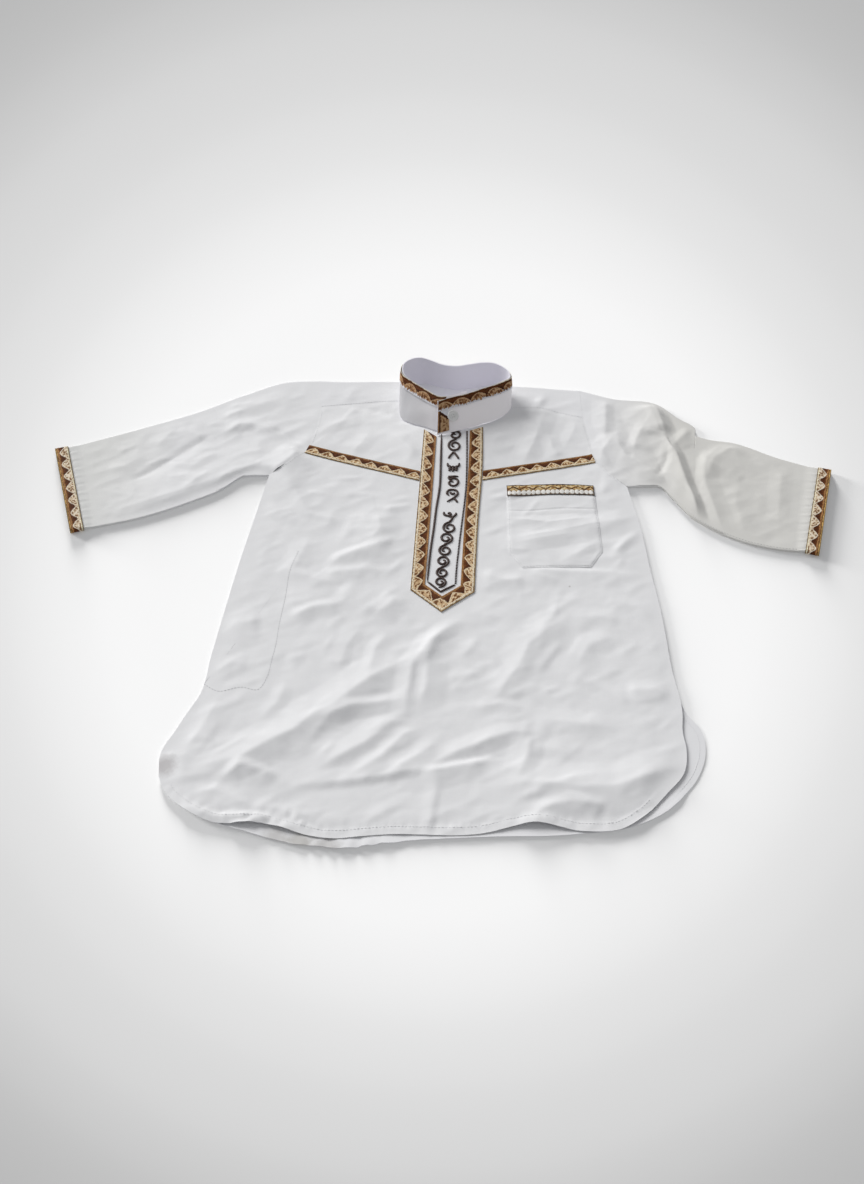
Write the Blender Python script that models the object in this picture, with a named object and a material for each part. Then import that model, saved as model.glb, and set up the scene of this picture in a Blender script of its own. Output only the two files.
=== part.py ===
"""A small child's white thobe shirt, laid flat on its back.

It has a front, a back that wraps over the shoulders, two flattened sleeves, a standing collar with
its button, a pointed placket, a chest pocket and the woven trims sewn on them.

Sizes are in millimetres and become metres when a mesh is made. While it is drawn, x = 0 is the
centre line with the wearer's left at +x, y = 0 is about the shoulder fold with the collar at +y,
and z = 0 is the surface it lies on. At the end the whole shirt is moved, so that the middle of the
underside of its box is the origin.
"""

import math
from collections import namedtuple

import bmesh
import bpy
import numpy as np
from mathutils import Vector
from mathutils.bvhtree import BVHTree

MM = 0.001
UP = Vector((0, 0, 1))
FAR = 1000.0

# Walls, and the gaps between pieces
CLOTH = 1.2
TRIM = 1.0
BAND = 1.6
GAP = 0.3
SEAM = 0.5

# Heights of the two layers: the lower lies on the surface, the upper lies on it
LOWER = CLOTH / 2
UPPER = CLOTH * 1.5 + 0.6
SIDE_DROP = 0.3
FOLD_RADIUS = (UPPER - LOWER) / 2

# Trim widths, the collar's height and its button
CUFF_WIDTH = 13.0
CHEST_WIDTH = 12.0
PLACKET_TRIM_WIDTH = 13.0
POCKET_TRIM_WIDTH = 14.5
COLLAR_TRIM_WIDTH = 11.0
BUTTON_RADIUS = 5.7
BUTTON_THICKNESS = 2.2
BUTTON_UP_THE_BAND = 0.46
BUTTON_SIDES = 18
BUTTON_FOOT_SHARE = 0.8
BUTTON_EDGE_SHARE = 0.86
BUTTON_DISH_SHARE = 0.66
BUTTON_EDGE_LOW = 0.7
BUTTON_EDGE_HIGH = 1.6
BUTTON_DISH_RIM = 1.5
BUTTON_DISH_MIDDLE = 1.4

# How far the front is lifted at the neck by the standing collar, and how far that reaches
NECK_LIFT = 6.8
NECK_LIFT_AT = (0.0, -74.0)
NECK_LIFT_REACH = (62.0, 66.0)

# Cells of the grids
SIDE_ROWS = 30
ARMHOLE_ROWS = 8
BACK_SIDE_ROWS = 13
BACK_ARMHOLE_ROWS = 7
FRONT_COLUMNS = (10, 12, 10)
BACK_COLUMNS = (7, 6, 7)
WRAP_ROWS = 3
SLEEVE_ROWS = 15
SLEEVE_END_BACK = 0.15
FOLD_STEPS = 4

Section = namedtuple("Section", "y right left")
Edge = namedtuple("Edge", "x y")
Arm = namedtuple("Arm", "top_x top_y under_x under_y")
Band = namedtuple("Band", "base_x base_y rim_x rim_y rim_z")
Fold = namedtuple("Fold", "height left right route")

# Side seams of the front: the x of the wearer's right and left edge at each y, underarm to corner
FRONT_SIDES = (
    Section(-148, -176, 170),
    Section(-206, -183, 181),
    Section(-256, -189, 187),
    Section(-307, -194, 194),
    Section(-374, -200, 200),
    Section(-420, -204, 206),
    Section(-440, -212, 205),
    Section(-459, -219, 207),
    Section(-481, -227, 204),
    Section(-505, -225, 187),
)

# The back lies a little to the wearer's left below the vents
BACK_SIDES = (
    Section(-148, -176, 170),
    Section(-206, -183, 181),
    Section(-256, -189, 187),
    Section(-307, -194, 194),
    Section(-374, -200, 200),
    Section(-420, -203, 210),
    Section(-437, -206, 221),
    Section(-459, -209, 223),
    Section(-485, -210, 215),
    Section(-508, -206, 199),
)

# Hem edges, from the wearer's right corner to the left one
FRONT_HEM = (
    Edge(-225, -505),
    Edge(-218, -519),
    Edge(-203, -533),
    Edge(-178, -546),
    Edge(-135, -547),
    Edge(-84, -557.5),
    Edge(-37, -552),
    Edge(38, -548),
    Edge(81, -537),
    Edge(123, -542),
    Edge(149, -539),
    Edge(172, -523),
    Edge(187, -505),
)
BACK_HEM = (
    Edge(-206, -508),
    Edge(-196, -525),
    Edge(-178, -543),
    Edge(-146, -554),
    Edge(-111, -563),
    Edge(-77, -566),
    Edge(-18, -556.5),
    Edge(45, -550),
    Edge(110, -545),
    Edge(166, -532.5),
    Edge(188, -519),
    Edge(199, -508),
)

# Armhole seams, from the seam on the shoulder down to the underarm
ARMHOLE_RIGHT = (Edge(-134, -47), Edge(-137, -80), Edge(-141, -103), Edge(-156, -128), Edge(-176, -148))
ARMHOLE_LEFT = (Edge(129, -52), Edge(135, -84), Edge(139, -106), Edge(152, -130), Edge(170, -148))
SHOULDER_TIP_RIGHT = Edge(-140, -6)
SHOULDER_TIP_LEFT = Edge(127, -9)

# Fold over each shoulder, the seam in front of it, and the neck edges between them
FOLD_RIGHT = (SHOULDER_TIP_RIGHT, Edge(-110, -6), Edge(-80, -4), Edge(-50, -3.5))
FOLD_LEFT = (Edge(50, -5), Edge(80, -6), Edge(105, -8), SHOULDER_TIP_LEFT)
SEAM_RIGHT = (Edge(-134, -47), Edge(-104, -42), Edge(-80, -38.5), Edge(-53.5, -38))
SEAM_LEFT = (Edge(53, -43.5), Edge(86, -41), Edge(106, -46), Edge(129, -52))
BACK_NECK = (
    Edge(-50, -3.5),
    Edge(-36, 0),
    Edge(-18, -4),
    Edge(1, -9),
    Edge(18, -4),
    Edge(36, -0.5),
    Edge(50, -5),
)
FRONT_NECK = (
    Edge(-53.5, -38),
    Edge(-52.5, -49),
    Edge(-47.5, -60),
    Edge(-29, -73.5),
    Edge(0, -82),
    Edge(29, -68),
    Edge(48, -53.5),
    Edge(53, -43.5),
)

# Sleeves, armhole to cuff: the folded top edge and the seam under the arm
SLEEVE_RIGHT = (
    Arm(-140, -6, -176, -148),
    Arm(-171, -9, -201, -151),
    Arm(-212, -30, -220, -170),
    Arm(-257, -59, -244, -186),
    Arm(-312, -87, -291, -211),
    Arm(-378, -118, -341, -228),
)
SLEEVE_LEFT = (
    Arm(127, -9, 170, -148),
    Arm(160, -20, 188, -147),
    Arm(205, -27, 202, -147),
    Arm(236, -60, 218, -170),
    Arm(245, -75, 237, -194),
    Arm(277, -81, 263, -211),
    Arm(319, -101, 306, -225),
    Arm(356, -115, 331, -227),
)

# Collar band, from its under end round the back of the neck to its buttoned end
COLLAR = (
    Band(12, -76.5, 12, -47, 30.5),
    Band(-1, -82.5, -1, -54, 31),
    Band(-14, -84.5, -13, -57.5, 31),
    Band(-29, -78, -27, -48.5, 31),
    Band(-42, -72, -40.5, -37, 31),
    Band(-51, -64.5, -50, -28, 31.5),
    Band(-55, -45, -53.5, -19, 32),
    Band(-53.5, -22, -52, -8.5, 32),
    Band(-46.5, -8.5, -45.5, -2, 32),
    Band(-35.5, -3, -36.5, 1, 31.5),
    Band(-24, -5, -26, -2, 31),
    Band(-12, -9, -13, -8.5, 31),
    Band(1, -11, 1, -10, 31),
    Band(14, -8.5, 14, -6.5, 31),
    Band(26, -5, 26, -3.5, 31),
    Band(37.5, -4, 37, -4, 31.5),
    Band(47, -11.5, 47, -10, 32),
    Band(54, -25, 53.5, -18.5, 32),
    Band(56.5, -41, 54.5, -26, 32),
    Band(52.5, -51, 49, -30.5, 31.5),
    Band(43.5, -61, 40, -37, 31.5),
    Band(29.5, -71, 27, -44, 31.5),
    Band(14.5, -79.5, 13, -52.5, 32),
    Band(0, -87, -2, -59.5, 32.5),
    Band(-15.5, -90.5, -16, -66, 32.5),
)
COLLAR_STEPS = 44
COLLAR_END_SHARE = 0.025
COLLAR_TRIM_START = 5
COLLAR_FOOT_REACH = 1.5
BUTTON_STEP = COLLAR_STEPS - 2

# Placket: half width, where its point begins, and how far its axis leans from collar to point
PLACKET_HALF = 28.7
PLACKET_TOP = (Edge(-28.7, -82), Edge(-14.5, -94), Edge(0, -91), Edge(14.5, -84), Edge(28.7, -76))
PLACKET_SHOULDER = -292.0
PLACKET_TIP = Edge(-2, -317.5)
PLACKET_ROWS = 18
PLACKET_TRIM_INSET = 0.3
PLACKET_FIELD_SHOULDER_UP = 7.0
PLACKET_FIELD_TIP_UP = 19.0

# Chest pocket, a patch with its two lower corners cut off, and the trims across the chest
POCKET_TOP = (Edge(54, -154), Edge(137.5, -149))
POCKET_BOTTOM = (Edge(57, -241), Edge(70, -260), Edge(133, -256), Edge(144, -236))
CHEST_TRIM_RIGHT = (Edge(-141, -104.5), Edge(-31.5, -138))
CHEST_TRIM_LEFT = (Edge(31.5, -135), Edge(137, -105))

# The largest creases of the upper layer: height, reach to the left and right of the way that the
# route runs, and the route along the crest
FOLDS = (
    Fold(5.0, 14, 9, ((-206, -500), (-138, -465), (-89, -423), (-60, -391), (-22, -368))),
    Fold(4.0, 12, 9, ((-108, -466), (-73, -445), (-36, -417))),
    Fold(5.0, 9, 20, ((-28, -432), (-25, -382), (-9, -348), (16, -314))),
    Fold(3.2, 12, 8, ((-92, -484), (-56, -458), (-26, -430))),
    Fold(5.0, 13, 9, ((-58, -497), (6, -480), (43, -474), (80, -449))),
    Fold(2.6, 12, 12, ((3, -498), (-2, -548))),
    Fold(3.4, 14, 10, ((-126, -339), (-90, -326), (-42, -306))),
    Fold(2.8, 12, 9, ((-104, -288), (-60, -318))),
    Fold(6.0, 18, 11, ((78, -498), (124, -503), (167, -491), (204, -478))),
    Fold(3.2, 12, 12, ((80, -332), (104, -360), (106, -392))),
    Fold(2.8, 14, 12, ((34, -330), (72, -352), (124, -362))),
    Fold(3.0, 12, 9, ((78, -436), (112, -430), (150, -444))),
    Fold(3.0, 10, 9, ((150, -414), (196, -398))),
    Fold(3.0, 14, 10, ((-106, -258), (-52, -232))),
    Fold(2.6, 12, 10, ((-150, -188), (-100, -196), (-48, -178))),
    Fold(3.0, 10, 10, ((-168, -505), (-132, -508), (-90, -520))),
    Fold(3.6, 12, 9, ((80, -528), (112, -517), (140, -519))),
    Fold(3.4, 12, 10, ((148, -268), (182, -250))),
    Fold(5.5, 16, 9, ((-312, -160), (-272, -128), (-238, -94), (-214, -76))),
    Fold(4.0, 12, 10, ((-214, -76), (-180, -90), (-146, -102))),
    Fold(4.0, 12, 14, ((-200, -152), (-179, -134), (-152, -120))),
    Fold(7.0, 7, 30, ((240, -192), (235, -153), (227, -105), (216, -72), (204, -34))),
    Fold(3.5, 9, 9, ((252, -200), (248, -150), (242, -88))),
    Fold(5.0, 12, 10, ((160, -70), (172, -107), (199, -127), (214, -158))),
    Fold(4.0, 10, 10, ((160, -24), (156, -72))),
)
CUFF_CALM = 40.0
EDGE_CALM = 26.0


def along(points, count, last=None):
    """Evenly spaced points on a smooth curve through these points.

    last is the share of its length that the last step takes, where that differs from the others.
    """
    given = np.array([tuple(p) for p in points], float)
    step = np.linalg.norm(np.diff(given, axis=0), axis=1)
    reach = np.concatenate([[0], np.cumsum(step)])
    slope = np.gradient(given, reach, axis=0)
    at = np.linspace(0, 1, count) if last is None else np.append(np.linspace(0, 1 - last, count - 1), 1)
    at = at * reach[-1]
    i = np.clip(np.searchsorted(reach, at, side="right") - 1, 0, len(step) - 1)
    h = step[i][:, None]
    t = ((at - reach[i]) / step[i])[:, None]
    start = given[i] * (1 + 2 * t) * (1 - t) ** 2 + slope[i] * h * t * (1 - t) ** 2
    end = given[i + 1] * t**2 * (3 - 2 * t) + slope[i + 1] * h * t**2 * (t - 1)
    return start + end


def joined(*curves):
    """One curve from curves that meet end to end."""
    return np.concatenate([curves[0]] + [curve[1:] for curve in curves[1:]])


def patch(low, high, left, right):
    """A Coons patch: the grid of points that blends four edge curves, row by row from low to high."""
    u = np.linspace(0, 1, len(low))[None, :, None]
    v = np.linspace(0, 1, len(left))[:, None, None]
    ruled = (1 - v) * low[None] + v * high[None] + (1 - u) * left[:, None] + u * right[:, None]
    corners = (1 - u) * ((1 - v) * low[0] + v * high[0]) + u * ((1 - v) * low[-1] + v * high[-1])
    return ruled - corners


def between(start, end, rows):
    """A grid of straight rows from one curve to another with as many points."""
    v = np.linspace(0, 1, rows + 1)[:, None, None]
    return (1 - v) * start[None] + v * end[None]


def smooth_step(t):
    """A soft rise from 0 to 1 as t goes from 0 to 1."""
    t = np.clip(t, 0, 1)
    return t * t * (3 - 2 * t)


def from_route(x, y, route):
    """For each point: its distance from a route, its side of it, and how far along it lies."""
    corners = np.array(route, float)
    lengths = np.linalg.norm(np.diff(corners, axis=0), axis=1)
    total = lengths.sum()
    near = np.full(np.shape(x), FAR)
    side = np.zeros(np.shape(x))
    share = np.zeros(np.shape(x))
    passed = 0.0
    for start, end, length in zip(corners[:-1], corners[1:], lengths):
        dx, dy = (end - start) / length
        run = (x - start[0]) * dx + (y - start[1]) * dy
        held = np.clip(run, 0, length)
        away = np.hypot(x - start[0] - held * dx, y - start[1] - held * dy)
        better = away < near
        near = np.where(better, away, near)
        side = np.where(better, dx * (y - start[1]) - dy * (x - start[0]), side)
        share = np.where(better, (passed + held) / total, share)
        passed += length
    return near, side, share


def relief(x, y):
    """Height that the creases add to the upper layer: the cube sum keeps crossing creases level."""
    total = np.zeros(np.shape(x))
    for fold in FOLDS:
        near, side, share = from_route(x, y, fold.route)
        reach = np.where(side > 0, fold.left, fold.right)
        crest = np.exp(-((near / reach) ** 2))
        ends = 0.35 + 0.65 * smooth_step(4 * share) * smooth_step(4 * (1 - share))
        total += (fold.height * crest * ends) ** 3
    return np.cbrt(total)


def neck_lift(x, y):
    """How far the standing collar lifts the cloth round the neck."""
    across = (x - NECK_LIFT_AT[0]) / NECK_LIFT_REACH[0]
    down = (y - NECK_LIFT_AT[1]) / NECK_LIFT_REACH[1]
    return NECK_LIFT * np.exp(-(across**2) - down**2)


def raised(plan, height):
    """Plan points with a height."""
    return np.dstack([plan, np.broadcast_to(height, plan.shape[:2])])


def finish(name, colour, roughness):
    """A plain Principled material."""
    material = bpy.data.materials.new(name)
    material.use_nodes = True
    shader = material.node_tree.nodes["Principled BSDF"]
    shader.inputs["Base Color"].default_value = (*colour, 1)
    shader.inputs["Roughness"].default_value = roughness
    shader.inputs["Metallic"].default_value = 0
    return material


def cloth(name, grids, wall, material, ring=False, keep=None):
    """A sewn piece: grids of middle-surface points, welded where they meet, with a wall of cloth.

    Each grid is rows by columns by x, y, z. A ring closes each row on itself. keep is a mask of the
    cells to fill.
    """
    mesh = bmesh.new()
    for grid in grids:
        rows, columns = grid.shape[:2]
        points = [[mesh.verts.new(grid[i, j] * MM) for j in range(columns)] for i in range(rows)]
        for i in range(rows - 1):
            for j in range(columns if ring else columns - 1):
                if keep is None or keep[i, j]:
                    k = (j + 1) % columns
                    mesh.faces.new((points[i][j], points[i][k], points[i + 1][k], points[i + 1][j]))
    bmesh.ops.remove_doubles(mesh, verts=mesh.verts, dist=0.02 * MM)
    loose = [vert for vert in mesh.verts if not vert.link_faces]
    bmesh.ops.delete(mesh, geom=loose, context="VERTS")
    bmesh.ops.triangulate(mesh, faces=mesh.faces)
    data = bpy.data.meshes.new(name)
    mesh.to_mesh(data)
    mesh.free()
    data.materials.append(material)
    data.shade_smooth()
    piece = bpy.data.objects.new(name, data)
    bpy.context.collection.objects.link(piece)
    thick = piece.modifiers.new("wall", "SOLIDIFY")
    thick.thickness = wall * MM
    thick.offset = 0
    return piece


def surfaces(*pieces):
    """Search trees of the finished walls of these pieces."""
    bpy.context.view_layer.update()
    graph = bpy.context.evaluated_depsgraph_get()
    return [BVHTree.FromObject(piece, graph) for piece in pieces]


def top_of(trees, x, y):
    """Height of the highest wall over a point, or 0 where there is none."""
    start = Vector((x, y, FAR)) * MM
    hits = [tree.ray_cast(start, -UP)[0] for tree in trees]
    return max([0.0] + [hit.z / MM for hit in hits if hit])


def resting(plan, trees, wall):
    """Plan points laid on the walls below, the highest within half a cell of each point, moved out."""
    rows, columns = plan.shape[:2]
    height = np.zeros((rows, columns))
    for i in range(rows):
        for j in range(columns):
            around = [plan[i, j]]
            for di, dj in ((1, 0), (-1, 0), (0, 1), (0, -1), (1, 1), (-1, -1), (1, -1), (-1, 1)):
                if 0 <= i + di < rows and 0 <= j + dj < columns:
                    around.append(0.5 * plan[i, j] + 0.5 * plan[i + di, j + dj])
            height[i, j] = max(top_of(trees, *point) for point in around)
    return raised(plan, height + GAP + wall / 2)


def side_curve(sections, edge, rows):
    """A side seam of a panel, from its corner up to the underarm."""
    points = [(getattr(section, edge), section.y) for section in reversed(sections)]
    return along(points, rows + 1)


def make_front(material):
    """The front: hem, side seams, armholes, shoulder seams and neck, with the creases."""
    armholes = [along(a, ARMHOLE_ROWS + 1)[::-1] for a in (ARMHOLE_RIGHT, ARMHOLE_LEFT)]
    left = joined(side_curve(FRONT_SIDES, "right", SIDE_ROWS), armholes[0])
    right = joined(side_curve(FRONT_SIDES, "left", SIDE_ROWS), armholes[1])
    parts = [along(c, n + 1) for c, n in zip((SEAM_RIGHT, FRONT_NECK, SEAM_LEFT), FRONT_COLUMNS)]
    plan = patch(along(FRONT_HEM, sum(FRONT_COLUMNS) + 1), joined(*parts), left, right)
    x, y = plan[..., 0], plan[..., 1]
    seams = [[(getattr(s, edge), s.y) for s in FRONT_SIDES] for edge in ("right", "left")]
    near = np.minimum(from_route(x, y, seams[0])[0], from_route(x, y, seams[1])[0])
    calm = smooth_step(near / EDGE_CALM)
    height = UPPER - SIDE_DROP + calm * (SIDE_DROP + relief(x, y)) + neck_lift(x, y)
    return cloth("front", [raised(plan, height)], CLOTH, material)


def wrap(fold, seam, shoulder, neck):
    """The stretch of the back that turns over a shoulder and comes forward to the front's seam."""
    line = np.array(fold)
    turn = []
    for angle in np.linspace(-math.pi / 2, math.pi / 2, FOLD_STEPS + 1):
        across = FOLD_RADIUS * (math.cos(angle) - 1)
        height = LOWER + FOLD_RADIUS * (1 + math.sin(angle))
        turn.append(np.column_stack([line[:, 0], line[:, 1] + across, np.full(len(line), height)]))
    plan = patch(turn[-1][:, :2], seam, along([turn[-1][0, :2], *shoulder], WRAP_ROWS + 1),
                 along([turn[-1][-1, :2], *neck], WRAP_ROWS + 1))
    x, y = plan[..., 0], plan[..., 1]
    calm = smooth_step((line[:, 1][None, :] - y) / EDGE_CALM)
    forward = raised(plan, UPPER + calm * (relief(x, y) + neck_lift(x, y)))
    return np.stack(turn), forward


def make_back(material):
    """The back: flat on the surface, turned over each shoulder as far as the seam in front."""
    armholes = [
        along([*a[::-1], tip], BACK_ARMHOLE_ROWS + 1)
        for a, tip in ((ARMHOLE_RIGHT, SHOULDER_TIP_RIGHT), (ARMHOLE_LEFT, SHOULDER_TIP_LEFT))
    ]
    folds = [along(c, n + 1) for c, n in zip((FOLD_RIGHT, BACK_NECK, FOLD_LEFT), BACK_COLUMNS)]
    top = joined(*folds)
    for armhole in armholes:
        armhole[-1, 1] -= FOLD_RADIUS
    top[:, 1] -= FOLD_RADIUS
    left = joined(side_curve(BACK_SIDES, "right", BACK_SIDE_ROWS), armholes[0])
    right = joined(side_curve(BACK_SIDES, "left", BACK_SIDE_ROWS), armholes[1])
    plan = patch(along(BACK_HEM, sum(BACK_COLUMNS) + 1), top, left, right)
    seam_right = along(SEAM_RIGHT, BACK_COLUMNS[0] + 1) + (0, SEAM)
    seam_left = along(SEAM_LEFT, BACK_COLUMNS[2] + 1) + (0, SEAM)
    grids = [raised(plan, LOWER)]
    grids += wrap(folds[0], seam_right, (seam_right[0],), (seam_right[-1],))
    grids += wrap(folds[2], seam_left, (seam_left[0],), (seam_left[-1],))
    return cloth("back", grids, CLOTH, material)


def sleeve_plan(stations, armhole, tip, side):
    """Plan grid of a sleeve from top edge to underarm, row by row from the armhole to the cuff.

    The first row lies a seam's gap outside the armhole. Two last rows carry the cuff trim.
    """
    seam_gap = np.array([side * SEAM, 0])
    start = joined(along([tip, armhole[0]], WRAP_ROWS + 1), along(armhole, ARMHOLE_ROWS + 1)) + seam_gap
    top = along([start[0]] + [(s.top_x, s.top_y) for s in stations[1:]], SLEEVE_ROWS + 1)
    under = along([start[-1]] + [(s.under_x, s.under_y) for s in stations[1:]], SLEEVE_ROWS + 1)
    end = np.linspace(top[-1], under[-1], len(start))
    body = patch(start, end, top, under)
    line = under[-1] - top[-1]
    outward = np.array([-line[1], line[0]]) * side / np.linalg.norm(line)
    outward *= np.sign(outward[0]) * side
    cuff = between(body[-1] + outward * GAP, body[-1] + outward * CUFF_WIDTH, 2)
    return body, cuff


def tube(plan, lift, raise_by, grow=0.0):
    """Ring sections round a flattened tube whose plan grid runs from edge to edge.

    lift raises each whole section, raise_by the upper layer, and grow moves the ring outwards.
    """
    radius = FOLD_RADIUS + grow
    across = plan[:, -1] - plan[:, 0]
    width = np.linalg.norm(across, axis=1)[:, None]
    unit = across / width
    middle = LOWER + FOLD_RADIUS + lift
    columns = []
    flat = np.array(plan)
    flat[:, 0] += unit * FOLD_RADIUS
    flat[:, -1] -= unit * FOLD_RADIUS
    for j in range(flat.shape[1]):
        columns.append(np.column_stack([flat[:, j], middle + radius + raise_by[:, j]]))
    angles = np.linspace(math.pi / 2, -math.pi / 2, FOLD_STEPS + 1)[1:-1]
    for angle in angles:
        place = flat[:, -1] + unit * radius * math.cos(angle)
        columns.append(np.column_stack([place, middle + radius * math.sin(angle)]))
    for share in np.linspace(1, 0, BACK_ARMHOLE_ROWS + 1):
        at = share * (flat.shape[1] - 1)
        low = min(int(at), flat.shape[1] - 2)
        place = flat[:, low] + (at - low) * (flat[:, low + 1] - flat[:, low])
        columns.append(np.column_stack([place, middle - radius]))
    for angle in angles[::-1]:
        place = flat[:, 0] - unit * radius * math.cos(angle)
        columns.append(np.column_stack([place, middle + radius * math.sin(angle)]))
    return np.stack(columns, axis=1)


def make_sleeve(name, stations, armhole, tip, side, material):
    """A sleeve as one flattened tube from armhole to cuff, open at both ends."""
    body, cuff = sleeve_plan(stations, armhole, tip, side)
    plan = np.concatenate([body, cuff])
    plan[-1] += (plan[-2] - plan[-1]) * SLEEVE_END_BACK
    x, y = plan[..., 0], plan[..., 1]
    cuff_line = cuff[0, [0, -1]]
    from_cuff = from_route(x, y, cuff_line)[0]
    from_cuff[len(body):] = 0
    calm = smooth_step(from_cuff / CUFF_CALM)
    top_edge = [tuple(p) for p in plan[:, 0]]
    under_edge = [tuple(p) for p in plan[:, -1]]
    near = np.minimum(from_route(x, y, top_edge)[0], from_route(x, y, under_edge)[0])
    calm = calm * smooth_step(near / EDGE_CALM)
    lift = (TRIM + GAP) * (1 - smooth_step(from_cuff[:, 0] / CUFF_WIDTH))
    return cloth(name, [tube(plan, lift, calm * relief(x, y))], CLOTH, material, ring=True), cuff


def make_cuff_trim(name, cuff, material):
    """The trim round the end of a sleeve."""
    grow = CLOTH / 2 + GAP + TRIM / 2
    lift = np.full(len(cuff), TRIM + GAP)
    flat = np.zeros(cuff.shape[:2])
    return cloth(name, [tube(cuff, lift, flat, grow)], TRIM, material, ring=True)


def band_curves(trees):
    """Foot and rim of the collar band at each step, as the middle of its wall."""
    foot = along([(b.base_x, b.base_y) for b in COLLAR], COLLAR_STEPS + 1, COLLAR_END_SHARE)
    rim = along([(b.rim_x, b.rim_y, b.rim_z) for b in COLLAR], COLLAR_STEPS + 1, COLLAR_END_SHARE)
    height = []
    for x, y in foot:
        steps = (-COLLAR_FOOT_REACH, 0, COLLAR_FOOT_REACH)
        near = [top_of(trees, x + dx, y + dy) for dx in steps for dy in steps]
        height.append(max(near) + GAP)
    widest = np.array([max(height[max(0, i - 1): i + 2]) for i in range(len(height))])
    lean = np.linalg.norm(rim[:, :2] - foot, axis=1) / rim[:, 2]
    return np.column_stack([foot, widest + lean * BAND / 2]), rim


def make_collar(foot, rim, material):
    """The standing collar: an open band whose ends overlap at the front."""
    return cloth("collar", [between(foot, rim, 3)], BAND, material)


def band_normals(foot, rim, line):
    """Directions out of the band at each step of a line along it."""
    out = np.cross(rim - foot, np.gradient(line, axis=0))
    return out / np.linalg.norm(out, axis=1)[:, None]


def make_collar_trim(foot, rim, material):
    """The trim along the rim, on the outside, and down the buttoned end."""
    height = np.linalg.norm(rim - foot, axis=1)[:, None]
    down = (foot - rim) / height
    rows = [rim, rim + down * COLLAR_TRIM_WIDTH, rim + down * (height - TRIM)]
    reach = BAND / 2 + SEAM + TRIM / 2
    grid = np.stack([row + band_normals(foot, rim, row) * reach for row in rows])
    keep = np.zeros((2, COLLAR_STEPS), bool)
    keep[0, COLLAR_TRIM_START:] = True
    keep[1, -1] = True
    return cloth("collar_trim", [grid], TRIM, material, keep=keep)


def make_button(foot, rim, material):
    """The collar's button: a turned disc with a raised edge, lying on the band."""
    line = foot + (rim - foot) * BUTTON_UP_THE_BAND
    out = band_normals(foot, rim, line)[BUTTON_STEP]
    seat = line[BUTTON_STEP] + out * (BAND / 2 + GAP)
    profile = (
        (0, 0),
        (BUTTON_RADIUS * BUTTON_FOOT_SHARE, 0),
        (BUTTON_RADIUS, BUTTON_EDGE_LOW),
        (BUTTON_RADIUS, BUTTON_EDGE_HIGH),
        (BUTTON_RADIUS * BUTTON_EDGE_SHARE, BUTTON_THICKNESS),
        (BUTTON_RADIUS * BUTTON_DISH_SHARE, BUTTON_DISH_RIM),
        (0, BUTTON_DISH_MIDDLE),
    )
    mesh = bmesh.new()
    verts = [mesh.verts.new((r * MM, 0, z * MM)) for r, z in profile]
    edges = [mesh.edges.new(pair) for pair in zip(verts[:-1], verts[1:])]
    bmesh.ops.spin(
        mesh, geom=verts + edges, cent=(0, 0, 0), axis=(0, 0, 1), angle=math.tau, steps=BUTTON_SIDES)
    bmesh.ops.remove_doubles(mesh, verts=mesh.verts, dist=0.02 * MM)
    bmesh.ops.recalc_face_normals(mesh, faces=mesh.faces)
    bmesh.ops.triangulate(mesh, faces=mesh.faces)
    data = bpy.data.meshes.new("collar_button")
    mesh.to_mesh(data)
    mesh.free()
    data.materials.append(material)
    data.shade_smooth()
    button = bpy.data.objects.new("collar_button", data)
    bpy.context.collection.objects.link(button)
    button.location = Vector(seat) * MM
    button.rotation_euler = Vector(out).to_track_quat("Z", "Y").to_euler()
    return button


def placket_edge(half, shoulder, tip_y):
    """Corners of the placket's outline at a half width: top, shoulder of the point, tip and back."""
    lean = PLACKET_TIP.x
    top_x, top_y = np.array(PLACKET_TOP).T
    return (
        Edge(-half, np.interp(-half, top_x, top_y)),
        Edge(lean - half, shoulder),
        Edge(lean, tip_y),
        Edge(lean + half, shoulder),
        Edge(half, np.interp(half, top_x, top_y)),
    )


def straight(start, end, count):
    """Evenly spaced points on a straight line."""
    return np.linspace(tuple(start), tuple(end), count + 1)


def make_placket(trees, material):
    """The pointed strip down the front."""
    corners = placket_edge(PLACKET_HALF, PLACKET_SHOULDER, PLACKET_TIP.y)
    top = np.array(PLACKET_TOP, float)
    bottom = joined(straight(corners[1], corners[2], 2), straight(corners[2], corners[3], 2))
    plan = between(bottom, top, PLACKET_ROWS)
    return cloth("placket", [resting(plan, trees, TRIM)], TRIM, material)


def make_placket_trim(trees, material):
    """The trim down both sides of the placket and round its point."""
    inset = PLACKET_TRIM_INSET
    outer = placket_edge(PLACKET_HALF - inset, PLACKET_SHOULDER, PLACKET_TIP.y + inset)
    field_half = PLACKET_HALF - PLACKET_TRIM_WIDTH
    field_shoulder = PLACKET_SHOULDER + PLACKET_FIELD_SHOULDER_UP
    inner = placket_edge(field_half, field_shoulder, PLACKET_TIP.y + PLACKET_FIELD_TIP_UP)
    cells = (PLACKET_ROWS - 4, 3, 3, PLACKET_ROWS - 4)
    lines = [
        joined(*[straight(a, b, n) for a, b, n in zip(edge[:-1], edge[1:], cells)])
        for edge in (inner, outer)
    ]
    plan = between(lines[1], lines[0], 2)
    return cloth("placket_trim", [resting(plan, trees, TRIM)], TRIM, material)


def make_strip(name, top, width, cells, trees, material, side=-1):
    """A straight strip of trim of a width below its top edge."""
    start, end = (np.array(tuple(p), float) for p in top)
    along_it = (end - start) / np.linalg.norm(end - start)
    across = np.array([-along_it[1], along_it[0]]) * side * width
    edge = straight(start, end, cells)
    plan = between(edge + across, edge, 2)
    return cloth(name, [resting(plan, trees, TRIM)], TRIM, material)


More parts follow.
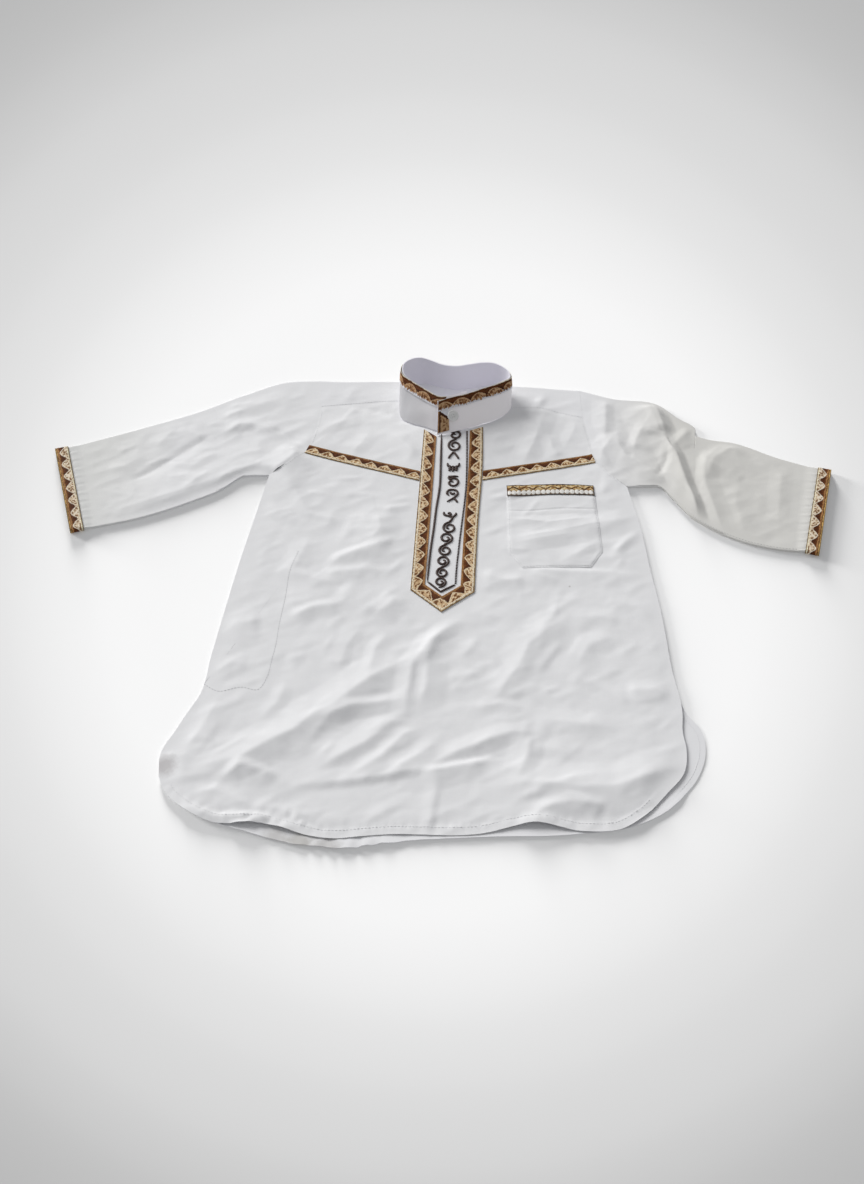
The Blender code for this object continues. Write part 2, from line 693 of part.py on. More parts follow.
def make_pocket(trees, material):
    """The chest pocket, a patch with its lower corners cut off."""
    corners = POCKET_BOTTOM
    bottom = joined(
        straight(corners[0], corners[1], 1),
        straight(corners[1], corners[2], 5),
        straight(corners[2], corners[3], 1),
    )
    plan = between(bottom, straight(*POCKET_TOP, 7), 8)
    return cloth("pocket", [resting(plan, trees, TRIM)], TRIM, material)


def centre(pieces):
    """Moves the shirt so that the middle of its box's underside is the origin."""
    bpy.context.view_layer.update()
    graph = bpy.context.evaluated_depsgraph_get()
    corners = []
    for piece in pieces:
        mesh = piece.evaluated_get(graph).to_mesh()
        corners += [piece.matrix_world @ vert.co for vert in mesh.vertices]
    low = Vector([min(c[i] for c in corners) for i in range(3)])
    high = Vector([max(c[i] for c in corners) for i in range(3)])
    shift = Vector((-(low.x + high.x) / 2, -(low.y + high.y) / 2, -low.z))
    for piece in pieces:
        piece.location += shift


def main():
    """Builds the shirt."""
    for old in list(bpy.data.objects):
        bpy.data.objects.remove(old, do_unlink=True)
    white = finish("cloth", (0.80, 0.80, 0.82), 0.75)
    crisp = finish("collar_cloth", (0.80, 0.80, 0.82), 0.7)
    gold = finish("trim", (0.45, 0.30, 0.15), 0.6)
    shell = finish("button", (0.85, 0.85, 0.85), 0.35)

    front = make_front(white)
    back = make_back(white)
    sleeve_right, cuff_right = make_sleeve(
        "sleeve_right", SLEEVE_RIGHT, ARMHOLE_RIGHT, SHOULDER_TIP_RIGHT, -1, white)
    sleeve_left, cuff_left = make_sleeve(
        "sleeve_left", SLEEVE_LEFT, ARMHOLE_LEFT, SHOULDER_TIP_LEFT, 1, white)
    pieces = [front, back, sleeve_right, sleeve_left]
    pieces.append(make_cuff_trim("cuff_trim_right", cuff_right, gold))
    pieces.append(make_cuff_trim("cuff_trim_left", cuff_left, gold))

    on_front = surfaces(front)
    placket = make_placket(on_front, white)
    pocket = make_pocket(on_front, white)
    pieces += [placket, pocket]
    pieces.append(make_placket_trim(surfaces(front, placket), gold))
    pieces.append(make_strip("pocket_trim", POCKET_TOP, POCKET_TRIM_WIDTH, 7, surfaces(pocket), gold))
    body = surfaces(front, sleeve_right, sleeve_left)
    pieces.append(make_strip("chest_trim_right", CHEST_TRIM_RIGHT, CHEST_WIDTH, 10, body, gold))
    pieces.append(make_strip("chest_trim_left", CHEST_TRIM_LEFT, CHEST_WIDTH, 10, body, gold))

    foot, rim = band_curves(surfaces(front, back))
    pieces.append(make_collar(foot, rim, crisp))
    pieces.append(make_collar_trim(foot, rim, gold))
    pieces.append(make_button(foot, rim, shell))
    centre(pieces)


main()
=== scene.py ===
"""A small child's white thobe shirt, laid flat on its back, with its woven trims and stitching.

Each sub-assembly is a class with its sizes as fields, and it builds its meshes as numpy grids. Points
are worked out in millimetres on the shirt's own axes: x = 0 is the centre line with the wearer's left
at +x, y = 0 is about the shoulder fold, and z = 0 is the surface that the shirt lies on. A finished
mesh is moved to the frame's origin and turned into metres.
"""

import logging
import math
from dataclasses import dataclass, field
from enum import Enum
from typing import Callable, NamedTuple, Sequence

import bpy
import numpy as np
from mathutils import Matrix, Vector


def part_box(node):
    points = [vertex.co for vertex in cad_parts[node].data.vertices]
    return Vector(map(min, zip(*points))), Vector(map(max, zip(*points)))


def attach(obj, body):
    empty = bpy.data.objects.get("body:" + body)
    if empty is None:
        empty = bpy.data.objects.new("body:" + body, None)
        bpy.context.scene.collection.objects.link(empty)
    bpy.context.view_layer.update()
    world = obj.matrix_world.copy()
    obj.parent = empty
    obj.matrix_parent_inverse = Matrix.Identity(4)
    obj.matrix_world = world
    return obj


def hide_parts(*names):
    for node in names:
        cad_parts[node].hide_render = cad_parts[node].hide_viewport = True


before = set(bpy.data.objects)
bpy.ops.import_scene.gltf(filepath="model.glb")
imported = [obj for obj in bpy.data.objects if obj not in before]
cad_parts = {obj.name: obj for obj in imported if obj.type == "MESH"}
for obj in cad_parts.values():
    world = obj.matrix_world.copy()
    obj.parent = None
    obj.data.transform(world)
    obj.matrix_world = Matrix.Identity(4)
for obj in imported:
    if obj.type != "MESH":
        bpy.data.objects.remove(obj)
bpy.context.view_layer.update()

Array = np.ndarray
Material = bpy.types.Material
Colour = tuple[float, float, float]
Point = tuple[float, float, float]
log = logging.getLogger("shirt")

MM = 0.001
FAR = 1000.0

# Walls of the cloth, and where the middles of the two layers lie
WALL = 0.5
SEWN_WALL = 0.3
SEWN_GAP = 0.12
BAND_WALL = 1.2
TAPE_WALL = 0.3
LOWER = 0.3
UPPER = 2.4
SIDE_DROP = 0.3
TURN = (UPPER - LOWER) / 2
SEAM = 0.06

# Widths of the trims
CUFF_WIDTH = 13.0
CHEST_WIDTH = 12.0
PLACKET_TRIM_WIDTH = 13.0
POCKET_TRIM_WIDTH = 14.5
COLLAR_TRIM_WIDTH = 11.0


class Edge(NamedTuple):
    """A point of an outline."""

    x: float
    y: float


class Section(NamedTuple):
    """The two side seams at one level."""

    y: float
    right: float
    left: float


class Arm(NamedTuple):
    """Top edge and underarm seam of a sleeve at one station."""

    top_x: float
    top_y: float
    under_x: float
    under_y: float


class BandPoint(NamedTuple):
    """Foot and rim of the collar band at one station."""

    base_x: float
    base_y: float
    rim_x: float
    rim_y: float
    rim_z: float


class Crease(NamedTuple):
    """A crease: its height, its reach to the left and right of its route, and the route."""

    height: float
    left: float
    right: float
    route: tuple[tuple[float, float], ...]


class Spot(NamedTuple):
    """A patch on the cloth for a real fleck, painted shade and a painted glow: its middle and radius in
    millimetres, its colour and its strength.
    """

    x: float
    y: float
    radius: float
    colour: Colour
    strength: float


class Strip(NamedTuple):
    """A sewn-on strip that stiffens the cloth: its middle line, and how it leaves the cloth free."""

    line: tuple[tuple[float, float], ...]
    least: float
    half: float
    reach: float

    def free(self, x: Array, y: Array) -> Array:
        """The share that is free at points: the least on the strip, and all past the reach beside it."""
        beside = from_route(x, y, self.line)[0] - self.half
        return self.least + (1 - self.least) * smooth_step(beside / self.reach)


class Swell(NamedTuple):
    """A bell shaped swelling: its height, its middle, and how far it reaches along x and y."""

    height: float
    x: float
    y: float
    wide: float
    deep: float

    def at(self, x: Array, y: Array) -> Array:
        """Its height at points."""
        return self.height * bell((x - self.x) / self.wide, (y - self.y) / self.deep)


def rows(kind: type, *values: tuple[float, ...]) -> tuple:
    """Values as rows of one kind."""
    return tuple(kind(*row) for row in values)


def creases(*values: tuple) -> tuple[Crease, ...]:
    """Creases from rows of height, reach to the left, reach to the right and the route's corners."""
    return tuple(Crease(*row[:3], row[3:]) for row in values)


FRONT_SIDES = rows(
    Section,
    (-148, -176, 170), (-206, -183, 181), (-256, -189, 187), (-307, -194, 194), (-374, -200, 200),
    (-420, -204, 206), (-440, -212, 205), (-459, -219, 207), (-481, -227, 204), (-505, -225, 187),
)
BACK_SIDES = rows(
    Section,
    (-148, -176, 170), (-206, -183, 181), (-256, -189, 187), (-307, -194, 194), (-374, -200, 200),
    (-420, -203, 210), (-437, -206, 221), (-459, -209, 223), (-485, -210, 215), (-508, -206, 199),
)
FRONT_HEM = rows(
    Edge,
    (-225, -505), (-218, -519), (-203, -533), (-178, -546), (-135, -547), (-84, -557.5), (-37, -552),
    (38, -548), (81, -537), (123, -542), (149, -539), (172, -523), (187, -505),
)
BACK_HEM = rows(
    Edge,
    (-206, -508), (-196, -525), (-178, -543), (-146, -554), (-111, -563), (-77, -566), (-18, -556.5),
    (45, -550), (110, -545), (166, -532.5), (188, -519), (199, -508),
)
ARMHOLE_RIGHT = (Edge(-134, -47), Edge(-137, -80), Edge(-141, -103), Edge(-156, -128), Edge(-176, -148))
ARMHOLE_LEFT = (Edge(129, -52), Edge(135, -84), Edge(139, -106), Edge(152, -130), Edge(170, -148))
TIP_RIGHT = Edge(-140, -6)
TIP_LEFT = Edge(127, -9)
FOLD_RIGHT = (TIP_RIGHT, Edge(-110, -6), Edge(-80, -4), Edge(-50, -3.5))
FOLD_LEFT = (Edge(50, -5), Edge(80, -6), Edge(105, -8), TIP_LEFT)
SEAM_RIGHT = (Edge(-134, -47), Edge(-104, -42), Edge(-80, -38.5), Edge(-53.5, -38))
SEAM_LEFT = (Edge(53, -43.5), Edge(86, -41), Edge(106, -46), Edge(129, -52))
SEAMS = (ARMHOLE_RIGHT, ARMHOLE_LEFT, SEAM_RIGHT, SEAM_LEFT)
BACK_NECK = rows(
    Edge,
    (-50, -3.5), (-36, 0), (-18, -4), (1, -9), (18, -4), (36, -0.5), (50, -5),
)
FRONT_NECK = rows(
    Edge,
    (-53.5, -38), (-52.5, -49), (-47.5, -60), (-29, -73.5), (0, -82), (29, -68), (48, -53.5),
    (53, -43.5),
)
SLEEVE_RIGHT = rows(
    Arm,
    (-140, -6, -176, -148), (-171, -9, -201, -151), (-212, -30, -220, -170), (-257, -59, -244, -186),
    (-312, -87, -291, -211), (-378, -118, -341, -228),
)
SLEEVE_LEFT = rows(
    Arm,
    (127, -9, 170, -148), (160, -20, 188, -147), (205, -27, 202, -147), (224, -46, 212, -160),
    (241, -62.5, 222, -176), (240.5, -71, 229, -186), (250, -76, 240, -196), (277, -81, 263, -211),
    (319, -101, 306, -225), (356, -115, 331, -227),
)
COLLAR = rows(
    BandPoint,
    (12, -76.5, 12, -47, 30.5), (-1, -82.5, -1, -54, 31), (-14, -84.5, -13, -57.5, 31),
    (-29, -78, -27, -48.5, 31), (-42, -72, -40.5, -37, 31), (-51, -64.5, -50, -28, 31.5),
    (-55, -45, -53.5, -19, 32), (-53.5, -22, -52, -8.5, 32), (-46.5, -8.5, -45.5, -2, 32),
    (-35.5, -3, -36.5, 1, 31.5), (-24, -5, -26, -2, 31), (-12, -9, -13, -8.5, 31), (1, -11, 1, -10, 31),
    (14, -8.5, 14, -6.5, 31), (26, -5, 26, -3.5, 31), (37.5, -4, 37, -4, 31.5),
    (47, -11.5, 47, -10, 32), (54, -25, 53.5, -18.5, 32), (56.5, -41, 54.5, -26, 32),
    (52.5, -51, 49, -30.5, 31.5), (43.5, -61, 40, -37, 31.5), (29.5, -71, 27, -44, 31.5),
    (14.5, -79.5, 13, -52.5, 32), (0, -87, -2, -59.5, 32.5), (-15.5, -90.5, -16, -66, 32.5),
)
PLACKET_HALF = 29.2
PLACKET_TOP = (Edge(-29.2, -82), Edge(-14.5, -94), Edge(0, -91), Edge(14.5, -84), Edge(29.2, -76))
PLACKET_SHOULDER = -292.0
PLACKET_TIP = Edge(-2, -317.5)
POCKET_TOP = (Edge(54, -154), Edge(137.5, -149))
POCKET_BOTTOM = (Edge(57, -241), Edge(70, -260), Edge(133, -256), Edge(144, -236))
CHEST_TRIM_RIGHT = (Edge(-141, -104.5), Edge(-31.5, -138))
CHEST_TRIM_LEFT = (Edge(31.5, -135), Edge(137, -105))

# What stiffens the front: the placket and the two chest trims
STRIPS = (
    Strip(((0, -90), (-1, -292)), 0.0, 27, 16),
    *(Strip(tuple((end.x, end.y - CHEST_WIDTH / 2) for end in trim), 0.45, CHEST_WIDTH / 2, 10)
      for trim in (CHEST_TRIM_RIGHT, CHEST_TRIM_LEFT)),
)

# Creases of the body below the chest, each with its left on the side that the light comes from
BODY_CREASES = creases(
    (5.0, 24, 22, (-206, -498), (-180, -490), (-160, -484), (-140, -468), (-120, -455), (-106, -439),
     (-88, -425), (-60, -396), (-22, -367)),
    (3.4, 9, 13, (-100, -442), (-75, -428), (-32, -417)),
    (3.0, 16, 12, (-96, -491), (-60, -465), (-29, -431)),
    (2.4, 10, 14, (-70, -497), (-45, -477), (-28, -455), (-14, -446)),
    (2.2, 12, 12, (-38, -494), (-14, -474), (2, -458)),
    (3.2, 13, 10, (-28, -433), (-26, -400), (-24, -378), (-10, -352), (14, -326)),
    (3.0, 9, 20, (-18, -428), (-12, -402), (-12, -366), (-2, -340)),
    (3.0, 13, 12, (0, -480), (30, -463), (60, -449), (84, -446)),
    (3.6, 6, 19, (-14, -493), (10, -487), (45, -477)),
    (2.6, 17, 12, (68, -494), (76, -470), (78, -450)),
    (1.2, 9, 4, (-2, -548), (0, -522), (3, -502)),
    (2.0, 12, 20, (-208, -480), (-197, -455), (-188, -424)),
    (3.8, 8, 17, (-174, -507), (-160, -492), (-141, -497), (-126, -506)),
    (2.0, 8, 14, (-196, -520), (-176, -516), (-158, -526), (-142, -534)),
    (2.4, 4, 6, (-198, -533), (-172, -542), (-146, -539), (-116, -546)),
    (1.6, 3, 4, (-160, -549), (-140, -545), (-122, -551)),
    (2.2, 14, 6, (-112, -509), (-60, -501), (-20, -491), (4, -481)),
    (2.2, 4, 15, (-231, -500), (-225, -485), (-213, -483)),
    (2.4, 16, 28, (-196, -352), (-182, -338), (-160, -334)),
    (1.6, 12, 12, (-196, -396), (-182, -384), (-166, -384)),
    (3.2, 22, 26, (66, -382), (76, -352), (92, -334), (106, -322)),
    (2.4, 14, 18, (48, -414), (57, -394), (66, -379), (82, -376)),
    (1.8, 14, 16, (118, -374), (128, -350), (152, -338)),
    (1.6, 12, 18, (112, -318), (134, -316), (160, -319)),
    (2.4, 10, 18, (32, -268), (52, -276), (74, -275)),
    (1.4, 12, 12, (30, -317), (52, -321), (74, -338)),
    (2.2, 14, 20, (60, -224), (100, -213), (150, -197), (180, -187)),
    (2.0, 6, 8, (154, -238), (166, -222), (181, -208)),
    (1.8, 8, 12, (56, -197), (92, -201), (134, -193)),
    (1.1, 10, 13, (62, -229), (86, -223), (118, -214)),
    (1.1, 14, 14, (104, -251), (124, -237), (140, -225)),
    (2.0, 4, 20, (72, -262), (110, -262), (150, -261)),
    (0.9, 6, 8, (76, -263), (104, -277)),
    (1.5, 14, 14, (78, -433), (112, -435), (152, -440)),
    (1.3, 10, 12, (78, -461), (94, -463), (112, -467)),
    (2.2, 12, 15, (158, -399), (180, -397), (199, -401)),
    (5.0, 26, 27, (54, -503), (80, -498), (118, -502), (150, -499), (176, -486), (206, -476)),
    (2.6, 9, 15, (80, -529), (95, -520), (110, -516), (138, -518)),
    (0.9, 6, 6, (104, -506), (140, -523)),
    (3.4, 8, 26, (-106, -264), (-98, -254), (-78, -243), (-50, -230)),
    (3.0, 30, 20, (-74, -236), (-63, -215), (-68, -194)),
    (2.0, 8, 17, (-112, -277), (-96, -272), (-58, -267)),
    (2.4, 8, 15, (-137, -330), (-118, -317), (-92, -310)),
    (2.6, 20, 14, (-98, -292), (-78, -308), (-60, -323)),
    (2.6, 14, 19, (-60, -323), (-41, -300)),
    (1.5, 15, 8, (-88, -390), (-84, -362), (-72, -336)),
    (1.7, 9, 11, (-62, -390), (-58, -362), (-48, -342)),
    (1.2, 8, 10, (-176, -184), (-158, -200), (-140, -214)),
    (0.9, 5, 6, (-138, -197), (-104, -206)),
    (1.4, 14, 14, (-128, -228), (-134, -252), (-141, -272)),
    (1.4, 5, 8, (-64, -191), (-34, -182)),
    (0.8, 4, 5, (-112, -151), (-84, -147)),
    (0.8, 4, 5, (-102, -172), (-76, -170)),
    (0.8, 4, 5, (-138, -169), (-118, -172)),
    (1.2, 8, 9, (-150, -268), (-118, -284), (-96, -286)),
    (1.3, 10, 12, (152, -296), (172, -302), (190, -318)),
    (1.2, 10, 9, (-160, -150), (-142, -178), (-134, -196)),
    (1.0, 8, 8, (118, -386), (150, -402), (166, -418)),
    (1.2, 9, 9, (-150, -444), (-136, -424), (-132, -402)),
    (0.9, 7, 7, (20, -352), (44, -368), (50, -384)),
    (1.4, 7, 9, (30, -424), (52, -418), (74, -422)),
)

# Creases of the chest and shoulders
CHEST_CREASES = creases(
    (-1.8, 12, 10, (-88, -47), (-60, -57), (-40, -72)),
    (1.6, 12, 12, (-32, -122), (-44, -104), (-62, -82)),
    (1.5, 16, 12, (-98, -112), (-90, -100), (-84, -86)),
    (1.3, 14, 12, (-132, -84), (-116, -70), (-92, -62)),
    (2.6, 16, 14, (70, -120), (80, -92), (87, -62), (91, -47)),
    (1.6, 10, 10, (106, -112), (98, -98), (95, -76)),
    (1.2, 10, 12, (112, -92), (120, -70), (122, -56)),
    (1.0, 8, 8, (-112, -36), (-104, -22), (-100, -12)),
    (1.0, 8, 8, (84, -36), (90, -20), (88, -10)),
    (5.0, 22, 34, (-180, -152), (-162, -130), (-145, -110)),
)

# Creases of the wearer's right sleeve, on the left of the picture
SLEEVE_RIGHT_CREASES = creases(
    (2.6, 44, 16, (-322, -206), (-270, -181), (-214, -150), (-166, -118)),
    (-1.8, 7, 12, (-314, -168), (-290, -146), (-270, -125), (-240, -93)),
    (1.6, 14, 14, (-292, -114), (-276, -84)),
    (1.4, 10, 12, (-276, -84), (-258, -92), (-244, -98)),
    (3.0, 14, 9, (-228, -90), (-213, -77), (-196, -78), (-172, -91)),
    (-1.5, 4, 4, (-182, -79), (-166, -90), (-148, -103)),
    (1.5, 10, 10, (-342, -172), (-352, -186), (-340, -200)),
    (1.0, 7, 7, (-252, -140), (-238, -124), (-228, -118)),
    (1.0, 7, 8, (-276, -156), (-256, -152), (-240, -160)),
    (1.4, 14, 14, (-300, -124), (-318, -142), (-334, -150)),
    (1.6, 14, 16, (-236, -72), (-206, -50), (-176, -36)),
)

# Creases of the wearer's left sleeve, on the right of the picture
SLEEVE_LEFT_CREASES = creases(
    (2.6, 14, 9, (151, -78), (152, -50), (153, -22)),
    (3.0, 14, 16, (143, -122), (148, -98), (160, -76)),
    (3.6, 12, 16, (162, -66), (164, -92), (170, -107), (184, -117), (197, -131), (212, -152), (226, -182)),
    (3.0, 8, 24, (178, -98), (181, -82), (190, -60)),
    (-1.6, 5, 5, (212, -93), (210, -110), (204, -124), (198, -135)),
    (7.0, 18, 9, (237, -196), (232, -165), (226, -140), (219, -103), (213, -88), (208, -74)),
    (7.4, 12, 36, (200, -24), (205, -46), (211, -74)),
    (2.6, 8, 14, (217, -89), (227, -75), (238, -64)),
    (2.6, 8, 15, (258, -208), (250, -168), (244, -136), (247, -108), (262, -88)),
    (3.0, 12, 36, (247, -130), (256, -106), (272, -91), (292, -88)),
    (1.2, 12, 12, (322, -112), (316, -150), (310, -190)),
    (1.2, 12, 16, (278, -206), (272, -168), (276, -142)),
    (1.4, 8, 10, (152, -128), (160, -140), (168, -146)),
)
CREASES = BODY_CREASES + CHEST_CREASES + SLEEVE_RIGHT_CREASES + SLEEVE_LEFT_CREASES

# Low creases of the back, which lies on the surface
BACK_CREASES = creases(
    (0.9, 30, 26, (-150, -470), (-90, -420), (-20, -400)),
    (0.8, 26, 22, (30, -500), (90, -450), (150, -440)),
    (0.9, 24, 30, (-110, -330), (-60, -300), (0, -310)),
    (0.8, 22, 24, (40, -340), (84, -300), (130, -296)),
    (0.8, 26, 22, (-120, -200), (-60, -190), (-10, -220)),
    (0.7, 22, 22, (30, -180), (70, -150), (120, -150)),
    (0.7, 20, 20, (-90, -90), (-40, -110), (30, -96)),
)

# Where the collar lifts the front, where the hem stands off the surface, and where it is rumpled
NECK_LIFT = Swell(6.8, 0.0, -74.0, 62.0, 66.0)
HEM_LIFTS = (
    Swell(3.2, 84.0, -541.0, 20.0, 16.0),
    Swell(2.0, -150.0, -549.0, 11.0, 8.8),
    Swell(1.6, -119.0, -551.0, 9.0, 7.2),
    Swell(1.0, -190.0, -540.0, 12.0, 9.6),
    Swell(0.7, 168.0, -528.0, 14.0, 11.2),
)
HEM_RUMPLE = Swell(1.0, -138.0, -543.0, 46.0, 11.0)

# A fleck on the front, and painted shade at the front's left hem corner and on the back's strip below the
# front's hem
FLECK_AND_PAINTED_SHADE = (
    Spot(112.9, -280.7, 1.1, (0.45, 0.40, 0.35), 0.6),
    # Painted shade: a grey patch where the front's left corner by the side slit lies in shade
    Spot(-222.0, -494.0, 9.0, (0.70, 0.68, 0.68), 0.55),
)
# Painted shade on the back's strip, where it shows below the front's hem in that hem's shade
BACK_PAINTED_SHADE = (
    Spot(-124.0, -558.0, 9.0, (0.73, 0.72, 0.71), 0.6),
    Spot(-104.0, -562.0, 10.0, (0.71, 0.70, 0.68), 0.7),
    Spot(-82.0, -565.0, 10.0, (0.73, 0.72, 0.71), 0.6),
)

# What is sewn on each sheet of cloth
SEWN_ON = {
    "back_panel": ("vent_stitches",),
    "front_panel": ("chest_trim_right_tape", "chest_trim_left_tape", "hem_stitches", "shoulder_stitches",
                    "armhole_stitches", "side_pocket_stitches"),
    "sleeve_right_cloth": ("cuff_trim_right_tape",),
    "sleeve_left_cloth": ("cuff_trim_left_tape", "underarm_stitches"),
    "placket_panel": ("placket_trim_tape", "placket_scrolls", "placket_lines"),
    "pocket_panel": ("pocket_trim_tape", "pocket_stitches"),
    "collar_band": ("collar_trim_tape", "button"),
}


def along(points: Sequence[Sequence[float]], count: int, last: float | None = None) -> Array:
    """A smooth curve through points: cubic pieces whose slopes are the central differences.

    Args:
        points: The points it passes through.
        count: How many evenly spaced points to return.
        last: The share of the length that the last step takes, where it differs from the others.

    Returns:
        The points, one row each.
    """
    given = np.array([tuple(p) for p in points], float)
    step = np.linalg.norm(np.diff(given, axis=0), axis=1)
    reach = np.concatenate([[0], np.cumsum(step)])
    slope = np.gradient(given, reach, axis=0)
    at = np.linspace(0, 1, count) if last is None else np.append(np.linspace(0, 1 - last, count - 1), 1)
    at = at * reach[-1]
    i = np.clip(np.searchsorted(reach, at, side="right") - 1, 0, len(step) - 1)
    h = step[i][:, None]
    t = ((at - reach[i]) / step[i])[:, None]
    start = given[i] * (1 + 2 * t) * (1 - t) ** 2 + slope[i] * h * t * (1 - t) ** 2
    end = given[i + 1] * t**2 * (3 - 2 * t) + slope[i + 1] * h * t**2 * (t - 1)
    return start + end


def evenly(points: Sequence[Sequence[float]] | Array, count: int) -> Array:
    """Evenly spaced points on the straight runs between points.

    Args:
        points: The corners.
        count: How many points to return.

    Returns:
        The points, one row each.
    """
    given = np.array([tuple(p) for p in points], float)
    reach = np.concatenate([[0], np.cumsum(np.linalg.norm(np.diff(given, axis=0), axis=1))])
    at = np.linspace(0, reach[-1], count)
    return np.stack([np.interp(at, reach, given[:, k]) for k in range(given.shape[1])], -1)


def joined(*curves: Array) -> Array:
    """One curve from curves that meet end to end."""
    return np.concatenate([curves[0]] + [curve[1:] for curve in curves[1:]])


def coons(low: Array, high: Array, left: Array, right: Array) -> Array:
    """A Coons patch: the two ruled grids between opposite edges, added, less the one of the corners.

    Args:
        low: Points of the first row.
        high: Points of the last row.
        left: Points of the first column.
        right: Points of the last column.

    Returns:
        Rows by columns of points.
    """
    u = np.linspace(0, 1, len(low))[None, :, None]
    v = np.linspace(0, 1, len(left))[:, None, None]
    ruled = (1 - v) * low[None] + v * high[None] + (1 - u) * left[:, None] + u * right[:, None]
    corners = (1 - u) * ((1 - v) * low[0] + v * high[0]) + u * ((1 - v) * low[-1] + v * high[-1])
    return ruled - corners


def between(start: Array, end: Array, rows: int) -> Array:
    """Straight rows from one curve to another with as many points."""
    v = np.linspace(0, 1, rows + 1)[:, None, None]
    return (1 - v) * start[None] + v * end[None]


def bell(*shares: Array | float) -> Array:
    """A bell: e to the power of minus the sum of the squares of the shares of its reaches."""
    return np.exp(-sum(share**2 for share in shares))


def smooth_step(t: Array | float) -> Array:
    """A soft rise from 0 to 1 as t goes from 0 to 1: 3t² - 2t³."""
    t = np.clip(t, 0, 1)
    return t * t * (3 - 2 * t)


def from_route(x: Array, y: Array, route: Sequence[Sequence[float]] | Array) -> tuple[Array, Array, Array]:
    """Where points lie against a route of straight runs.

    Args:
        x: The points' x.
        y: The points' y.
        route: The route's corners.

    Returns:
        The distance from the route, the side (over 0 is left of it), and the share of it passed.
    """
    corners = np.array(route, float)
    lengths = np.linalg.norm(np.diff(corners, axis=0), axis=1)
    total = lengths.sum()
    near = np.full(np.shape(x), FAR)
    side = np.zeros(np.shape(x))
    share = np.zeros(np.shape(x))
    passed = 0.0
    for start, end, length in zip(corners[:-1], corners[1:], lengths):
        dx, dy = (end - start) / length
        run = (x - start[0]) * dx + (y - start[1]) * dy
        held = np.clip(run, 0, length)
        away = np.hypot(x - start[0] - held * dx, y - start[1] - held * dy)
        better = away < near
        near = np.where(better, away, near)
        side = np.where(better, dx * (y - start[1]) - dy * (x - start[0]), side)
        share = np.where(better, (passed + held) / total, share)
        passed += length
    return near, side, share


def ripple(x: Array, y: Array, cell: float, seed: int) -> Array:
    """Soft unevenness from -1 to 1: random heights on a square lattice, blended by smooth steps.

    Args:
        x: The points' x.
        y: The points' y.
        cell: Size of the lattice's squares.
        seed: Picks the heights.

    Returns:
        The unevenness at each point.
    """
    table = np.random.default_rng(seed).uniform(-1, 1, (128, 128))
    i, j = np.floor(x / cell).astype(int), np.floor(y / cell).astype(int)
    u, v = smooth_step(x / cell - i), smooth_step(y / cell - j)
    a, b = table[i % 128, j % 128], table[(i + 1) % 128, j % 128]
    c, d = table[i % 128, (j + 1) % 128], table[(i + 1) % 128, (j + 1) % 128]
    return (a * (1 - u) + b * u) * (1 - v) + (c * (1 - u) + d * u) * v


def little_creases(count: int, area: tuple[float, ...], heading: float, seed: int) -> tuple[Crease, ...]:
    """Short faint creases strewn over an area, most of them along one heading.

    Args:
        count: How many.
        area: Low x, low y, high x and high y.
        heading: The heading in degrees.
        seed: Picks their places.

    Returns:
        The creases.
    """
    random = np.random.default_rng(seed)
    middle = random.uniform(area[:2], area[2:], (count, 2))
    angle = np.radians(random.normal(heading, 26, count))
    half = random.uniform(7, 21, count)
    bend = random.uniform(-0.16, 0.16, count) * half
    run = np.column_stack([np.cos(angle), np.sin(angle)])
    rise = np.column_stack([-run[:, 1], run[:, 0]])
    ends = middle - run * half[:, None], middle + run * half[:, None]
    routes = np.stack([ends[0], middle + rise * bend[:, None], ends[1]], 1)
    heights, reaches = random.uniform(0.25, 0.8, count), random.uniform(3.0, 8.5, (count, 2))
    return tuple(
        Crease(float(h), float(r[0]), float(r[1]), tuple(map(tuple, route.tolist())))
        for h, r, route in zip(heights, reaches, routes)
    )


LITTLE_CREASES = (
    little_creases(110, (-200, -540, 196, -150), 32, 21)
    + little_creases(22, (-126, -136, 122, -14), 12, 22)
    + little_creases(26, (-340, -200, -150, -20), 24, 23)
    + little_creases(24, (140, -200, 330, -24), -38, 24)
)


def linear(colour: Sequence[float] | Array) -> Array:
    """Screen colour values as the linear ones that shaders use."""
    c = np.asarray(colour, float)
    return np.where(c <= 0.04045, c / 12.92, ((c + 0.055) / 1.055) ** 2.4)


